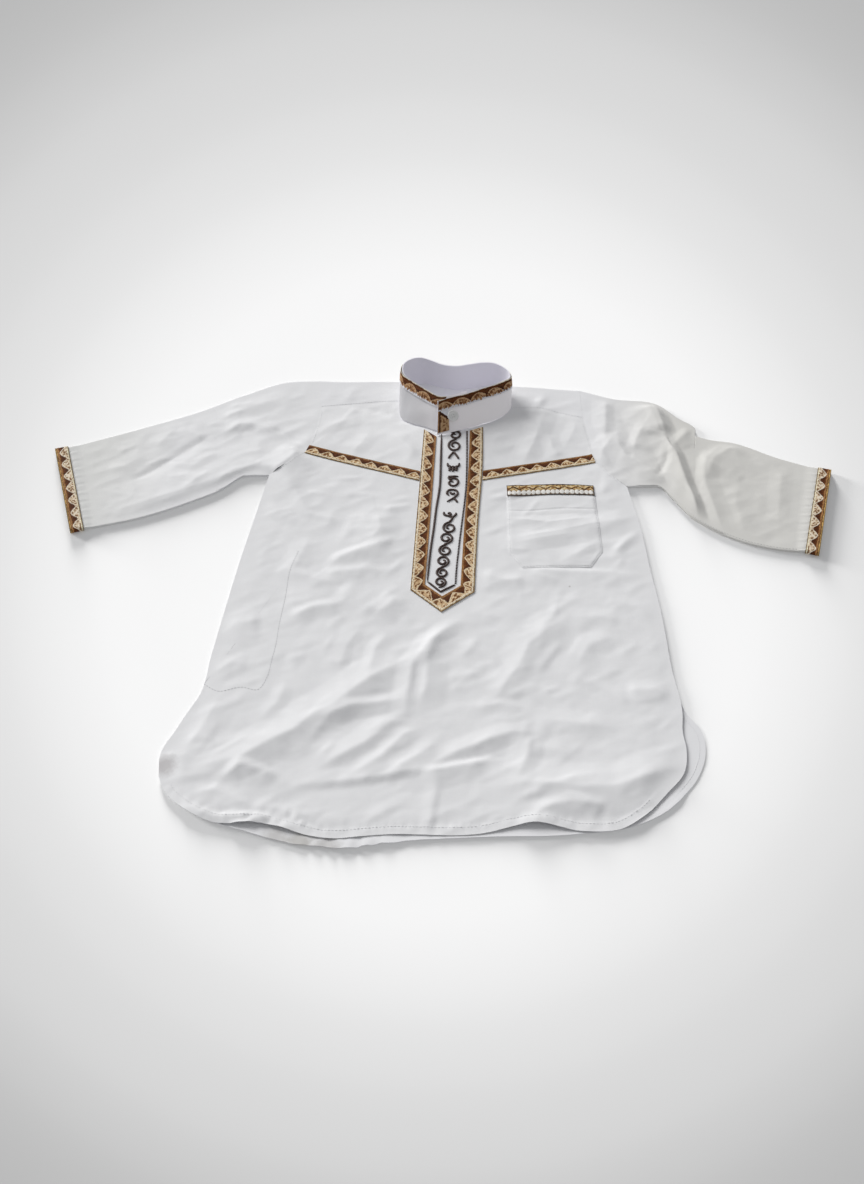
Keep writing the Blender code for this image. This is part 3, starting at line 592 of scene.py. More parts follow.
@dataclass(frozen=True)
class Lie:
    """How the upper layer of cloth lies: its creases, the lift at the neck, and what stiffens it."""

    creases: tuple[Crease, ...] = CREASES + LITTLE_CREASES
    crest: float = 0.45
    foot: float = 1.2
    depth: float = 0.9
    side_calm: float = 22.0
    hem_drop: float = 0.8
    hem_width: float = 6.6
    hem_wall: float = 0.3
    seam_depth: float = 0.13
    least: float = 0.12

    def creased(self, x: Array, y: Array, creases: Sequence[Crease]) -> Array:
        """Height of tent shaped creases.

        Each falls from its crest in a straight slope to its reach on either side. The crest is
        rounded by taking the root of distance squared plus crest squared, the foot by a power.

        Args:
            x: The points' x.
            y: The points' y.
            creases: The creases to add up.

        Returns:
            The height at each point.
        """
        total = np.zeros(np.shape(x))
        for crease in creases:
            reach = max(crease.left, crease.right)
            low, high = np.min(crease.route, 0) - reach, np.max(crease.route, 0) + reach
            near_it = (x > low[0]) & (x < high[0]) & (y > low[1]) & (y < high[1])
            near, side, share = from_route(x[near_it], y[near_it], crease.route)
            reach = np.where(side > 0, crease.left, crease.right)
            t = np.clip(1 - np.sqrt(near**2 + self.crest**2) / (reach + self.crest), 0, 1)
            ends = 0.25 + 0.75 * smooth_step(4 * share) * smooth_step(4 * (1 - share))
            total[near_it] += self.depth * crease.height * ends * t**self.foot
        return total

    def stiffness(self, x: Array, y: Array) -> Array:
        """How much of the relief is left near the sewn-on strips: little below them, all away from them."""
        free = np.prod([strip.free(x, y) for strip in STRIPS], axis=0)
        return self.least + (1 - self.least) * free

    def relief(self, x: Array, y: Array) -> Array:
        """Creases with a fine unevenness of the cloth and crisp little ridges.

        A ridge runs where a soft unevenness passes through 0, since its size is taken off there.

        Args:
            x: The points' x.
            y: The points' y.

        Returns:
            The height at each point.
        """
        u, v = 0.87 * x + 0.5 * y, 0.87 * y - 0.5 * x
        crisp = 0.55 * np.abs(ripple(u, 1.7 * v, 26, 12))
        crisp += 0.18 * np.abs(ripple(u + 0.4 * v, 1.4 * v, 11, 14))
        fine = 0.30 * ripple(x, y, 19, 3) + 0.12 * ripple(x, y, 8, 5) + 0.03 * ripple(x, y, 3.6, 8)
        return (self.creased(x, y, self.creases) + fine + 0.35 - crisp) * self.stiffness(x, y)

    def hem_lift(self, x: Array, y: Array) -> Array:
        """Where the hem stands off the surface: swellings, and one that is rumpled."""
        rumple = 2.3 * np.abs(ripple(x + 0.5 * y, y - 0.4 * x, 8, 31)) + 0.8 * ripple(x, y, 5.0, 32)
        return sum(lift.at(x, y) for lift in HEM_LIFTS) + HEM_RUMPLE.at(x, y) * rumple

    def seam_dip(self, x: Array, y: Array) -> Array:
        """How far the cloth sinks along the armhole and shoulder seams: a narrow bell of the distance."""
        near = np.minimum.reduce([from_route(x, y, seam)[0] for seam in SEAMS])
        return -self.seam_depth * bell(near / 1.9)

    def hem_band(self, x: Array, y: Array) -> Array:
        """The hem: it lies lower than the panel, its turned-up band is thicker, and its stitches pucker it.

        Args:
            x: The points' x.
            y: The points' y.

        Returns:
            The height at each point.
        """
        near, _, share = from_route(x, y, FRONT_HEM)
        drop = -self.hem_drop * (1 - smooth_step(near / 20))
        band = self.hem_wall * (1 - smooth_step((near - self.hem_width) / 1.2))
        pucker = 0.22 * np.sin(share * 330 + 3 * np.sin(share * 41)) * bell((near - 7) / 4.5)
        return drop + band + pucker

    def front(self, x: Array, y: Array) -> Array:
        """Height of the middle of the front's cloth, calmed towards the side seams.

        Args:
            x: The points' x.
            y: The points' y.

        Returns:
            The height at each point.
        """
        seams = [[(getattr(s, edge), s.y) for s in FRONT_SIDES] for edge in ("right", "left")]
        near = np.minimum(from_route(x, y, seams[0])[0], from_route(x, y, seams[1])[0])
        calm = smooth_step(near / self.side_calm)
        shape = (0.25 + 0.75 * calm) * (self.relief(x, y) + self.hem_band(x, y)).clip(-1.5)
        lifts = NECK_LIFT.at(x, y) + self.hem_lift(x, y) + self.seam_dip(x, y)
        return UPPER - SIDE_DROP * (1 - calm) + shape + lifts

    def on_front(self, x: Array, y: Array) -> Array:
        """Height of the front's upper face."""
        return self.front(x, y) + WALL / 2


LIE = Lie()


@dataclass
class Grid:
    """A grid of points of a piece, in millimetres.

    Attributes:
        points: Rows by columns by x, y, z.
        chart: Place of each point on the flat cloth, with one more column where the grid is a ring.
        tint: Colour of each point, where the piece has one.
        ring: Whether each row closes on itself.
    """

    points: Array
    chart: Array
    tint: Array | None = None
    ring: bool = False

    def cells(self) -> tuple[Array, Array]:
        """Corners of the cells.

        Returns:
            Numbers of each cell's four points, and of its four places on the chart.
        """
        rows, columns = self.points.shape[:2]
        wide = columns if self.ring else columns - 1
        i, j = np.meshgrid(np.arange(rows - 1), np.arange(wide), indexing="ij")
        k = (j + 1) % columns
        low = i * columns
        points = np.stack([low + j, low + k, low + columns + k, low + columns + j], -1)
        span = self.chart.shape[1]
        places = (i * span + j)[..., None] + (0, 1, span + 1, span)
        return points.reshape(-1, 4), places.reshape(-1, 4)


def flat_chart(points: Array, ring: bool = False) -> Array:
    """Place of each grid point on the flat cloth: lengths along the middle row and column.

    Args:
        points: Rows by columns by coordinates.
        ring: Whether each row closes on itself.

    Returns:
        Rows by columns (one more for a ring) by two.
    """
    row = points[len(points) // 2]
    if ring:
        row = np.concatenate([row, row[:1]])
    column = points[:, points.shape[1] // 2]
    across = np.concatenate([[0], np.cumsum(np.linalg.norm(np.diff(row, axis=0), axis=1))])
    down = np.concatenate([[0], np.cumsum(np.linalg.norm(np.diff(column, axis=0), axis=1))])
    u, v = np.meshgrid(across, down)
    return np.stack([u, v], -1)


class Socket:
    """A shader value that can stand in an expression; each operator adds its Math node."""

    def __init__(self, board: "Board", output: bpy.types.NodeSocket) -> None:
        """Wraps an output of a node on a board."""
        self.board = board
        self.output = output

    def _math(self, operation: str, *values: "Socket | float") -> "Socket":
        """Adds a Math node that works on these values."""
        return self.board.node("ShaderNodeMath", {"operation": operation}, dict(enumerate(values)))

    def __add__(self, other: "Socket | float") -> "Socket":
        """self + other."""
        return self._math("ADD", self, other)

    __radd__ = __add__

    def __sub__(self, other: "Socket | float") -> "Socket":
        """self - other."""
        return self._math("SUBTRACT", self, other)

    def __rsub__(self, other: float) -> "Socket":
        """other - self."""
        return self._math("SUBTRACT", other, self)

    def __mul__(self, other: "Socket | float") -> "Socket":
        """self times other."""
        return self._math("MULTIPLY", self, other)

    __rmul__ = __mul__

    def __truediv__(self, other: "Socket | float") -> "Socket":
        """self over other."""
        return self._math("DIVIDE", self, other)

    def sine(self) -> "Socket":
        """Sine of self."""
        return self._math("SINE", self)

    def clamped(self) -> "Socket":
        """self held between 0 and 1."""
        return self.board.node("ShaderNodeClamp", {}, {0: self})

    def scaled(self, colour: Colour) -> "Socket":
        """A colour times self."""
        settings = {"operation": "SCALE"}
        return self.board.node("ShaderNodeVectorMath", settings, {0: colour, "Scale": self})


class Board:
    """The nodes of one material."""

    def __init__(self, name: str) -> None:
        """Makes a material with an empty Principled shader.

        Args:
            name: The material's name.
        """
        self.material = bpy.data.materials.new(name)
        self.material.use_nodes = True
        self.tree = self.material.node_tree
        self.shader = self.tree.nodes["Principled BSDF"]

    def node(self, kind: str, settings: dict[str, object], values: dict[object, object],
             out: object = 0) -> Socket:
        """Adds a node.

        Args:
            kind: Blender's name of the node's type.
            settings: Its properties, set first; "stops" are a ramp's places and colours.
            values: Numbers, colours or sockets for its inputs, by name or number.
            out: The output to return, by name or number.

        Returns:
            That output.
        """
        made = self.tree.nodes.new(kind)
        for key, value in settings.items():
            if key == "stops":
                for place, colour in value[len(made.color_ramp.elements):]:
                    made.color_ramp.elements.new(place)
                for element, (place, colour) in zip(made.color_ramp.elements, value):
                    element.position, element.color = place, (*colour, 1)
                made.color_ramp.interpolation = "CARDINAL"
            else:
                setattr(made, key, value)
        for key, value in values.items():
            self.put(made.inputs[key], value)
        return Socket(self, made.outputs[out])

    def put(self, target: bpy.types.NodeSocket, value: object) -> None:
        """Links a socket to an input, or sets its value.

        Args:
            target: The input.
            value: A socket, a number or a colour.
        """
        if isinstance(value, Socket):
            self.tree.links.new(value.output, target)
        elif isinstance(value, tuple) and len(value) == 3 and len(target.default_value) == 4:
            target.default_value = (*value, 1)
        else:
            target.default_value = value

    def shade(self, **values: object) -> Material:
        """Sets inputs of the shader.

        Args:
            values: Numbers, colours or sockets by the input's name, with _ for spaces.

        Returns:
            The material.
        """
        for key, value in values.items():
            self.put(self.shader.inputs[key.replace("_", " ")], value)
        return self.material

    def chart(self) -> tuple[Socket, Socket, Socket]:
        """The place on the flat cloth, in metres.

        Returns:
            It as a vector, and its two numbers.
        """
        place = self.node("ShaderNodeUVMap", {"uv_map": "cut"}, {})
        across = self.node("ShaderNodeSeparateXYZ", {}, {0: place}, 0)
        down = self.node("ShaderNodeSeparateXYZ", {}, {0: place}, 1)
        return place, across, down

    def noise(self, vector: Socket, scale: float, detail: float = 2.0) -> Socket:
        """A noise from 0 to 1."""
        return self.node("ShaderNodeTexNoise", {}, {"Vector": vector, "Scale": scale, "Detail": detail})

    def stretched(self, vector: Socket, scale: Point) -> Socket:
        """A vector scaled by axis."""
        return self.node("ShaderNodeMapping", {}, {"Vector": vector, "Scale": scale})

    def bump(self, height: Socket, distance: float, strength: float) -> Socket:
        """A normal from a height from 0 to 1."""
        values = {"Height": height, "Distance": distance, "Strength": strength}
        return self.node("ShaderNodeBump", {}, values)

    def mixed(self, share: Socket, low: Socket | Colour, high: Socket | Colour) -> Socket:
        """One colour where the share is 0 and another where it is 1."""
        return self.node("ShaderNodeMix", {"data_type": "RGBA"}, {0: share, 6: low, 7: high}, 2)

    def far_from(self, spot: Socket, middle: Point) -> Socket:
        """Distance of a spot from a point."""
        return self.node("ShaderNodeVectorMath", {"operation": "DISTANCE"}, {0: spot, 1: middle}, "Value")


@dataclass(frozen=True)
class ClothFinish:
    """Plain woven cloth: threads over and under, slubs along both ways, and a little crumple.

    Attributes:
        far: The tone that it has drifted to at the second x of the span, from its colour at the first:
            painted
        shade where it is darker, as towards the sleeves' cuffs, and painted light where it is lighter, as on
        the collar.
        through: Strength of a painted glow, standing in for the light that reaches a face through the thin
            cloth from behind it.
        aglow: Where that painted glow shows, where it is not all over.
    """

    name: str
    colour: Colour
    pitch: float = 0.0006
    sheen: float = 0.12
    roughness: float = 0.74
    marks: tuple[Spot, ...] = ()
    far: Colour | None = None
    span: tuple[float, float] = (0.0, 1.0)
    through: float = 0.0
    aglow: Spot | None = None

    def material(self) -> Material:
        """Builds the material.

        Returns:
            The material.
        """
        board = Board(self.name)
        place, across, down = board.chart()
        turns = math.tau / self.pitch
        weave = (across * turns).sine() * (down * turns).sine() * 0.5 + 0.5
        warp = board.noise(board.stretched(place, (900, 40, 1)), 1.0, 1.0)
        weft = board.noise(board.stretched(place, (40, 900, 1)), 1.0, 1.0)
        crumple = board.noise(place, 150.0, 3.0)
        cloud = board.noise(place, 16.0, 2.0)
        tone = 0.965 + cloud * 0.03 + (warp + weft) * 0.02 + weave * 0.015
        colour = tone.scaled(self.colour)
        spot = board.node("ShaderNodeTexCoord", {}, {}, "Object")
        # Painted shade and painted light: the colour drifts along x to the far tone, darker towards the
        # sleeves' cuffs and lighter across the collar
        if self.far:
            start, end = (Workshop.placed(x, 0, 0)[0] for x in self.span)
            passed = ((board.node("ShaderNodeSeparateXYZ", {}, {0: spot}) - start) / (end - start)).clamped()
            colour = board.mixed(passed, colour, tone.scaled(self.far))
        # Each mark blends its colour in over a ragged disc; apart from the front's fleck, these marks are
        # painted shade.
        for mark in self.marks:
            near = board.far_from(spot, Workshop.placed(mark.x, mark.y, 2.0))
            ragged = near + (board.noise(spot, 260.0, 3.0) - 0.5) * (mark.radius * MM * 0.9)
            amount = (1.5 - ragged * (1 / (mark.radius * MM))).clamped() * mark.strength
            colour = board.mixed(amount, colour, tuple(linear(mark.colour)))
        # Painted glow: an emission of the cloth's colour all over, and of the aglow spot's colour there alone
        # where a spot is given
        glow = colour
        if self.aglow:
            near = board.far_from(spot, Workshop.placed(self.aglow.x, self.aglow.y, 0.0))
            amount = (1.5 - near * (1 / (self.aglow.radius * MM))).clamped() * self.aglow.strength
            glow = board.mixed(amount, (0.0, 0.0, 0.0), tuple(linear(self.aglow.colour)))
        height = weave * 0.35 + (warp + weft) * 0.34 + crumple * 0.9
        rough = self.roughness + (crumple - 0.5) * 0.08
        return board.shade(Base_Color=colour, Roughness=rough, Sheen_Weight=self.sheen, Sheen_Roughness=0.4,
                           Specular_IOR_Level=0.3, Emission_Color=glow, Emission_Strength=self.through,
                           Normal=board.bump(height, 0.00012, 0.55))


@dataclass(frozen=True)
class TapeFinish:
    """Embroidered tape: the colour of each point with the streaks and ribs of its thread."""

    name: str
    rib: float = 0.0007

    def material(self) -> Material:
        """Builds the material.

        Returns:
            The material.
        """
        board = Board(self.name)
        place, across, down = board.chart()
        tint = board.node("ShaderNodeAttribute", {"attribute_name": "tint"}, {}, "Color")
        speckle = board.noise(place, 900.0, 2.0)
        streak = board.noise(board.stretched(place, (1500, 300, 1)), 1.0, 1.0)
        rib = (across * (math.tau / self.rib) + streak * 4.0).sine() * 0.5 + 0.5
        tone = 0.72 + speckle * 0.26 + streak * 0.14 + rib * 0.10
        settings = {"data_type": "RGBA", "blend_type": "MULTIPLY"}
        grey = board.node("ShaderNodeCombineColor", {}, {0: tone, 1: tone, 2: tone})
        colour = board.node("ShaderNodeMix", settings, {0: 1.0, 6: tint, 7: grey}, 2)
        height = rib * 0.5 + speckle * 0.5
        return board.shade(Base_Color=colour, Roughness=0.5 + speckle * 0.15, Specular_IOR_Level=0.1,
                           Normal=board.bump(height, 0.0002, 0.6))


@dataclass(frozen=True)
class ThreadFinish:
    """Sewing or embroidery thread: fine twisted ribs along it."""

    name: str
    colour: Colour
    roughness: float = 0.45
    twist: float = 0.0006

    def material(self) -> Material:
        """Builds the material.

        Returns:
            The material.
        """
        board = Board(self.name)
        place, across, down = board.chart()
        ribs = ((across + down * 0.6) * (math.tau / self.twist)).sine() * 0.5 + 0.5
        fuzz = board.noise(place, 1200.0, 2.0)
        tone = 0.7 + ribs * 0.22 + fuzz * 0.2
        height = ribs * 0.7 + fuzz * 0.3
        return board.shade(Base_Color=tone.scaled(self.colour), Roughness=self.roughness + fuzz * 0.12,
                           Specular_IOR_Level=0.45, Normal=board.bump(height, 0.0001, 0.6))


@dataclass(frozen=True)
class ButtonFinish:
    """A moulded shirt button: white with a faint cloud and a polished face."""

    name: str
    colour: Colour

    def material(self) -> Material:
        """Builds the material.

        Returns:
            The material.
        """
        board = Board(self.name)
        spot = board.node("ShaderNodeTexCoord", {}, {}, "Object")
        cloud = board.noise(spot, 220.0, 3.0)
        tone = 0.93 + cloud * 0.1
        return board.shade(Base_Color=tone.scaled(self.colour), Roughness=0.22 + cloud * 0.14,
                           Coat_Weight=0.35, Specular_IOR_Level=0.5)


@dataclass(frozen=True)
class FloorFinish:
    """A pale paper floor with a painted pool of light that fades outward.

    The share of the fading is one less the cosine of the angle between the lamp's axis and the line
    from the lamp to the spot, over the spread. The lamp point is the camera's eye, where no lamp stands.
    """

    name: str
    lamp: Point
    axis: Point
    light: float
    spread: float = 0.0944
    paper: tuple[float, float] = (0.43, 0.84)
    places: tuple[float, ...] = (0.0, 0.147, 0.247, 0.38, 0.514, 0.686, 0.828, 1.0)
    tones: tuple[float, ...] = (0.965, 0.947, 0.922, 0.815, 0.73, 0.658, 0.571, 0.503)

    def material(self) -> Material:
        """Builds the painted pool of light: the paper reflects part of each tone, and a glow gives the rest.

        Returns:
            The material.
        """
        board = Board(self.name)
        tone = np.array(self.tones)
        share = (tone - tone.min()) / (tone.max() - tone.min())
        paper = self.paper[0] + (self.paper[1] - self.paper[0]) * share
        glow = (tone - self.light * paper).clip(0)
        spot = board.node("ShaderNodeTexCoord", {}, {}, "Object")
        line = board.node("ShaderNodeVectorMath", {"operation": "SUBTRACT"}, {0: spot, 1: self.lamp})
        line = board.node("ShaderNodeVectorMath", {"operation": "NORMALIZE"}, {0: line})
        dot = {"operation": "DOT_PRODUCT"}
        turn = board.node("ShaderNodeVectorMath", dot, {0: line, 1: self.axis}, "Value")
        at = ((1.0 - turn) / self.spread).clamped()
        rows = [tuple((place, (value,) * 3) for place, value in zip(self.places, row.tolist()))
                for row in (paper, glow)]
        ramps = [board.node("ShaderNodeValToRGB", {"stops": stops}, {0: at}) for stops in rows]
        return board.shade(Base_Color=ramps[0], Emission_Color=ramps[1], Emission_Strength=1.0, Roughness=0.9,
                           Specular_IOR_Level=0.0)


class Slot(Enum):
    """Material slots of the record."""

    CLOTH = "cloth"
    COLLAR = "collar_cloth"
    TRIM = "trim"
    BUTTON = "button"


class Workshop:
    """Makes finished pieces out of grids and rides them on the frame."""

    shift: tuple[float, float] = (0.0, 0.0)
    pieces: list[bpy.types.Object] = []
    sheets: list[tuple[bpy.types.Object, dict[str, object]]] = []

    @classmethod
    def placed(cls, x: float, y: float, z: float) -> Point:
        """A point of the shirt's own axes, in metres from the frame's origin."""
        return ((x + cls.shift[0]) * MM, (y + cls.shift[1]) * MM, z * MM)

    @classmethod
    def mesh(cls, name: str, grids: Sequence[Grid]) -> bpy.types.Mesh:
        """One mesh of grids, with points that coincide made one.

        Args:
            name: The mesh's name.
            grids: The grids.

        Returns:
            The mesh, in metres, with its chart and, where given, its tint. Its open borders are sharp.
        """
        starts = np.cumsum([0] + [grid.points[..., 0].size for grid in grids])
        points = np.concatenate([grid.points.reshape(-1, 3) for grid in grids])
        cells = [grid.cells() for grid in grids]
        faces = np.concatenate([cell[0] + start for cell, start in zip(cells, starts)])
        chart = np.concatenate([
            grid.chart.reshape(-1, 2)[cell[1]].reshape(-1, 2) for grid, cell in zip(grids, cells)])
        _, first, same = np.unique(np.round(points / 0.02).astype(np.int64), axis=0,
                                   return_index=True, return_inverse=True)
        faces = same.reshape(-1)[faces]
        used, faces = np.unique(faces, return_inverse=True)
        faces = faces.reshape(-1, 4)
        places = points[first[used]] + (cls.shift[0], cls.shift[1], 0)
        mesh = bpy.data.meshes.new(name)
        mesh.vertices.add(len(places))
        mesh.vertices.foreach_set("co", (places * MM).astype(np.float32).ravel())
        mesh.loops.add(faces.size)
        mesh.loops.foreach_set("vertex_index", faces.astype(np.int32).ravel())
        mesh.polygons.add(len(faces))
        mesh.polygons.foreach_set("loop_start", np.arange(0, faces.size, 4, dtype=np.int32))
        mesh.update(calc_edges=True)
        layer = mesh.uv_layers.new(name="cut")
        layer.data.foreach_set("uv", (chart * MM).astype(np.float32).ravel())
        if grids[0].tint is not None:
            tint = np.concatenate([grid.tint.reshape(-1, 3) for grid in grids])[first[used]]
            rgba = np.column_stack([linear(tint.clip(0, 1)), np.ones(len(tint))]).astype(np.float32)
            mesh.attributes.new("tint", "FLOAT_COLOR", "POINT").data.foreach_set("color", rgba.ravel())
        mesh.shade_smooth()
        sides = np.empty(faces.size, np.int32)
        mesh.loops.foreach_get("edge_index", sides)
        border = np.bincount(sides, minlength=len(mesh.edges)) == 1
        mesh.attributes.new("sharp_edge", "BOOLEAN", "EDGE").data.foreach_set("value", border)
        return mesh

    @classmethod
    def piece(cls, name: str, grids: Sequence[Grid], finish: Material, slot: Slot,
              node: str = "", wall: float = 0.0, offset: float = 0.0,
              lining: Material | None = None) -> bpy.types.Object:
        """Makes grids a piece of the shirt.

        Args:
            name: The piece's name.
            grids: Its grids.
            finish: Its material.
            slot: The record's material slot.
            node: The frame's node that it stands for, if any.
            wall: Thickness of its wall in millimetres, or 0 where the grids are closed already.
            offset: Where the grids lie in its wall: -1 is its outer face, 0 its middle.
            lining: Material of its inner face and edges, where that differs.

        Returns:
            The piece.
        """
        mesh = cls.mesh(name, grids)
        mesh.materials.append(finish)
        made = bpy.data.objects.new(name, mesh)
        bpy.context.collection.objects.link(made)
        if wall:
            thick = made.modifiers.new("wall", "SOLIDIFY")
            thick.thickness = wall * MM
            thick.offset = offset
            if lining:
                mesh.materials.append(lining)
                thick.material_offset = thick.material_offset_rim = 1
        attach(made, "root")
        if node:
            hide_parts(node)
        cls.pieces.append(made)
        log.info("%s: %d faces", name, len(mesh.polygons))
        return made

    @classmethod
    def sheet(cls, piece: bpy.types.Object, grids: Sequence[Grid], digits: int = 3, **cut: object) -> None:
        """Notes that a piece is a sheet of cloth, its cut, and the area of its grids to so many digits."""
        cls.sheets.append((piece, {"area": round(cloth_area(grids), digits), **cut}))

    @classmethod
    def declare(cls, sewn_on: dict[str, tuple[str, ...]]) -> None:
        """Args:
            sewn_on: Names of the pieces on each sheet, by its name. Not used.
        """


def upward(points: Array, chart: Array, tint: Array | None = None) -> Grid:
    """A grid whose rows are turned round where its faces would look down.

    Args:
        points: Its points.
        chart: Their places on the flat cloth.
        tint: Their colours, where the piece has them.

    Returns:
        The grid.
    """
    a, b = points[0, 1] - points[0, 0], points[1, 0] - points[0, 0]
    if a[0] * b[1] - a[1] * b[0] > 0:
        return Grid(points, chart, tint)
    return Grid(points[::-1], chart[::-1], None if tint is None else tint[::-1])


def raised(plan: Array, height: Array | float) -> Array:
    """Plan points with a height."""
    return np.dstack([plan, np.broadcast_to(height, plan.shape[:2])])


def cloth_area(grids: Sequence[Grid]) -> float:
    """Area of cloth: half the cross product of each cell's diagonals.

    Args:
        grids: Its grids.

    Returns:
        The area in square metres.
    """
    total = 0.0
    for grid in grids:
        corners = grid.points.reshape(-1, 3)[grid.cells()[0]]
        cross = np.cross(corners[:, 2] - corners[:, 0], corners[:, 3] - corners[:, 1])
        total += np.linalg.norm(cross, axis=1).sum() / 2
    return total * MM * MM


def side_curve(sections: Sequence[Section], edge: str, rows: int) -> Array:
    """A side seam of a panel, from its corner up to the underarm."""
    return along([(getattr(section, edge), section.y) for section in reversed(sections)], rows + 1)


@dataclass
class Front:
    """The front panel with its creases."""

    finish: Material
    side_rows: int = 176
    armhole_rows: int = 50
    columns: tuple[int, int, int] = (62, 72, 62)
    cut: tuple[float, float] = (0.45, 0.56)

    def plan(self) -> Array:
        """Plan of the panel: a Coons patch between hem, side seams with armholes, and the top edge.

        Returns:
            Rows by columns of points.
        """
        armholes = [along(a, self.armhole_rows + 1)[::-1] for a in (ARMHOLE_RIGHT, ARMHOLE_LEFT)]
        left = joined(side_curve(FRONT_SIDES, "right", self.side_rows), armholes[0])
        right = joined(side_curve(FRONT_SIDES, "left", self.side_rows), armholes[1])
        parts = [along(c, n + 1) for c, n in zip((SEAM_RIGHT, FRONT_NECK, SEAM_LEFT), self.columns)]
        return coons(along(FRONT_HEM, sum(self.columns) + 1), joined(*parts), left, right)

    def build(self) -> None:
        """Builds the panel: its plan at the height at which the upper layer lies."""
        plan = self.plan()
        points = raised(plan, LIE.front(plan[..., 0], plan[..., 1]))
        grid = Grid(points, plan - plan.min((0, 1)))
        piece = Workshop.piece("front_panel", [grid], self.finish, Slot.CLOTH, "front", WALL)
        Workshop.sheet(piece, [grid], flat=self.cut, rests_on=["back_panel"])


@dataclass
class Back:
    """The back panel, flat on the surface and turned forward over each shoulder."""

    finish: Material
    side_rows: int = 100
    armhole_rows: int = 36
    columns: tuple[int, int, int] = (40, 34, 40)
    wrap_rows: int = 20
    fold_steps: int = 8
    calm: float = 24.0
    edge_calm: float = 20.0
    hem_roll: float = 0.45
    hem_wall: float = 0.3
    cut: tuple[float, float] = (0.45, 0.66)

    @staticmethod
    def outline(side_rows: int, armhole_rows: int, columns: Sequence[int]) -> tuple[Array, list[Array]]:
        """Where the panel lies.

        Args:
            side_rows: Rows along the side seams.
            armhole_rows: Rows along the armholes.
            columns: Columns along the right fold, the neck and the left fold.

        Returns:
            Rows by columns of its plan, and the three curves of its top edge.
        """
        armholes = [along([*armhole[::-1], tip], armhole_rows + 1)
                    for armhole, tip in ((ARMHOLE_RIGHT, TIP_RIGHT), (ARMHOLE_LEFT, TIP_LEFT))]
        folds = [along(c, n + 1) for c, n in zip((FOLD_RIGHT, BACK_NECK, FOLD_LEFT), columns)]
        top = joined(*folds)
        for armhole in armholes:
            armhole[-1, 1] -= TURN
        top[:, 1] -= TURN
        left = joined(side_curve(BACK_SIDES, "right", side_rows), armholes[0])
        right = joined(side_curve(BACK_SIDES, "left", side_rows), armholes[1])
        return coons(along(BACK_HEM, sum(columns) + 1), top, left, right), folds

    def wrap(self, fold: Array, seam: Array) -> list[Array]:
        """The stretch that turns over a shoulder: a half circle of the turn's radius, then flat forward.

        Args:
            fold: Points of the fold.
            seam: Points of the seam on the front, as many.

        Returns:
            Rows of points of the two parts.
        """
        angles = np.linspace(-math.pi / 2, math.pi / 2, self.fold_steps + 1)[:, None]
        across = fold[None, :, 1] + TURN * (np.cos(angles) - 1)
        height = LOWER + TURN * (1 + np.sin(angles)) + 0 * across
        turn = np.stack([fold[None, :, 0] + 0 * across, across, height], -1)
        plan = coons(turn[-1][:, :2], seam, evenly([turn[-1][0, :2], seam[0]], self.wrap_rows + 1),
                     evenly([turn[-1][-1, :2], seam[-1]], self.wrap_rows + 1))
        x, y = plan[..., 0], plan[..., 1]
        calm = smooth_step((fold[:, 1][None, :] - y) / self.calm)
        shape = LIE.relief(x, y).clip(-1.2) + NECK_LIFT.at(x, y) + LIE.seam_dip(x, y)
        return [turn, raised(plan, UPPER + calm * shape)]

    def build(self) -> None:
        """Builds the panel with low creases and its two wraps."""
        plan, folds = self.outline(self.side_rows, self.armhole_rows, self.columns)
        x, y = plan[..., 0], plan[..., 1]
        sides = (plan[:, 0], plan[:, -1], plan[0], plan[-1])
        edge = np.minimum.reduce([from_route(x, y, side)[0] for side in sides])
        low = LIE.creased(x, y, BACK_CREASES) * smooth_step(edge / self.edge_calm)
        hem = from_route(x, y, BACK_HEM)[0]
        roll = self.hem_roll * bell(hem / 3.2) + self.hem_wall * (1 - smooth_step((hem - 7) / 1.5))
        rumpled = bell((x + 66) / 52, hem / 9)
        ruffle = rumpled * (1.5 * np.abs(ripple(x, 0.3 * y, 5.5, 41)) + 0.5 * ripple(x, y, 3.8, 43))
        plan[..., 1] += rumpled * 1.1 * ripple(x, 0 * y, 6.5, 42)
        grids = [raised(plan, LOWER + low.clip(0, 1.2) + roll + ruffle)]
        for fold, seam in ((folds[0], SEAM_RIGHT), (folds[2], SEAM_LEFT)):
            grids += self.wrap(fold, along(seam, len(fold)) + (0, SEAM))
        made = [Grid(points, flat_chart(points)) for points in grids]
        piece = Workshop.piece("back_panel", made, self.finish, Slot.CLOTH, "back", WALL)
        Workshop.sheet(piece, made, flat=self.cut, rests_on=[])


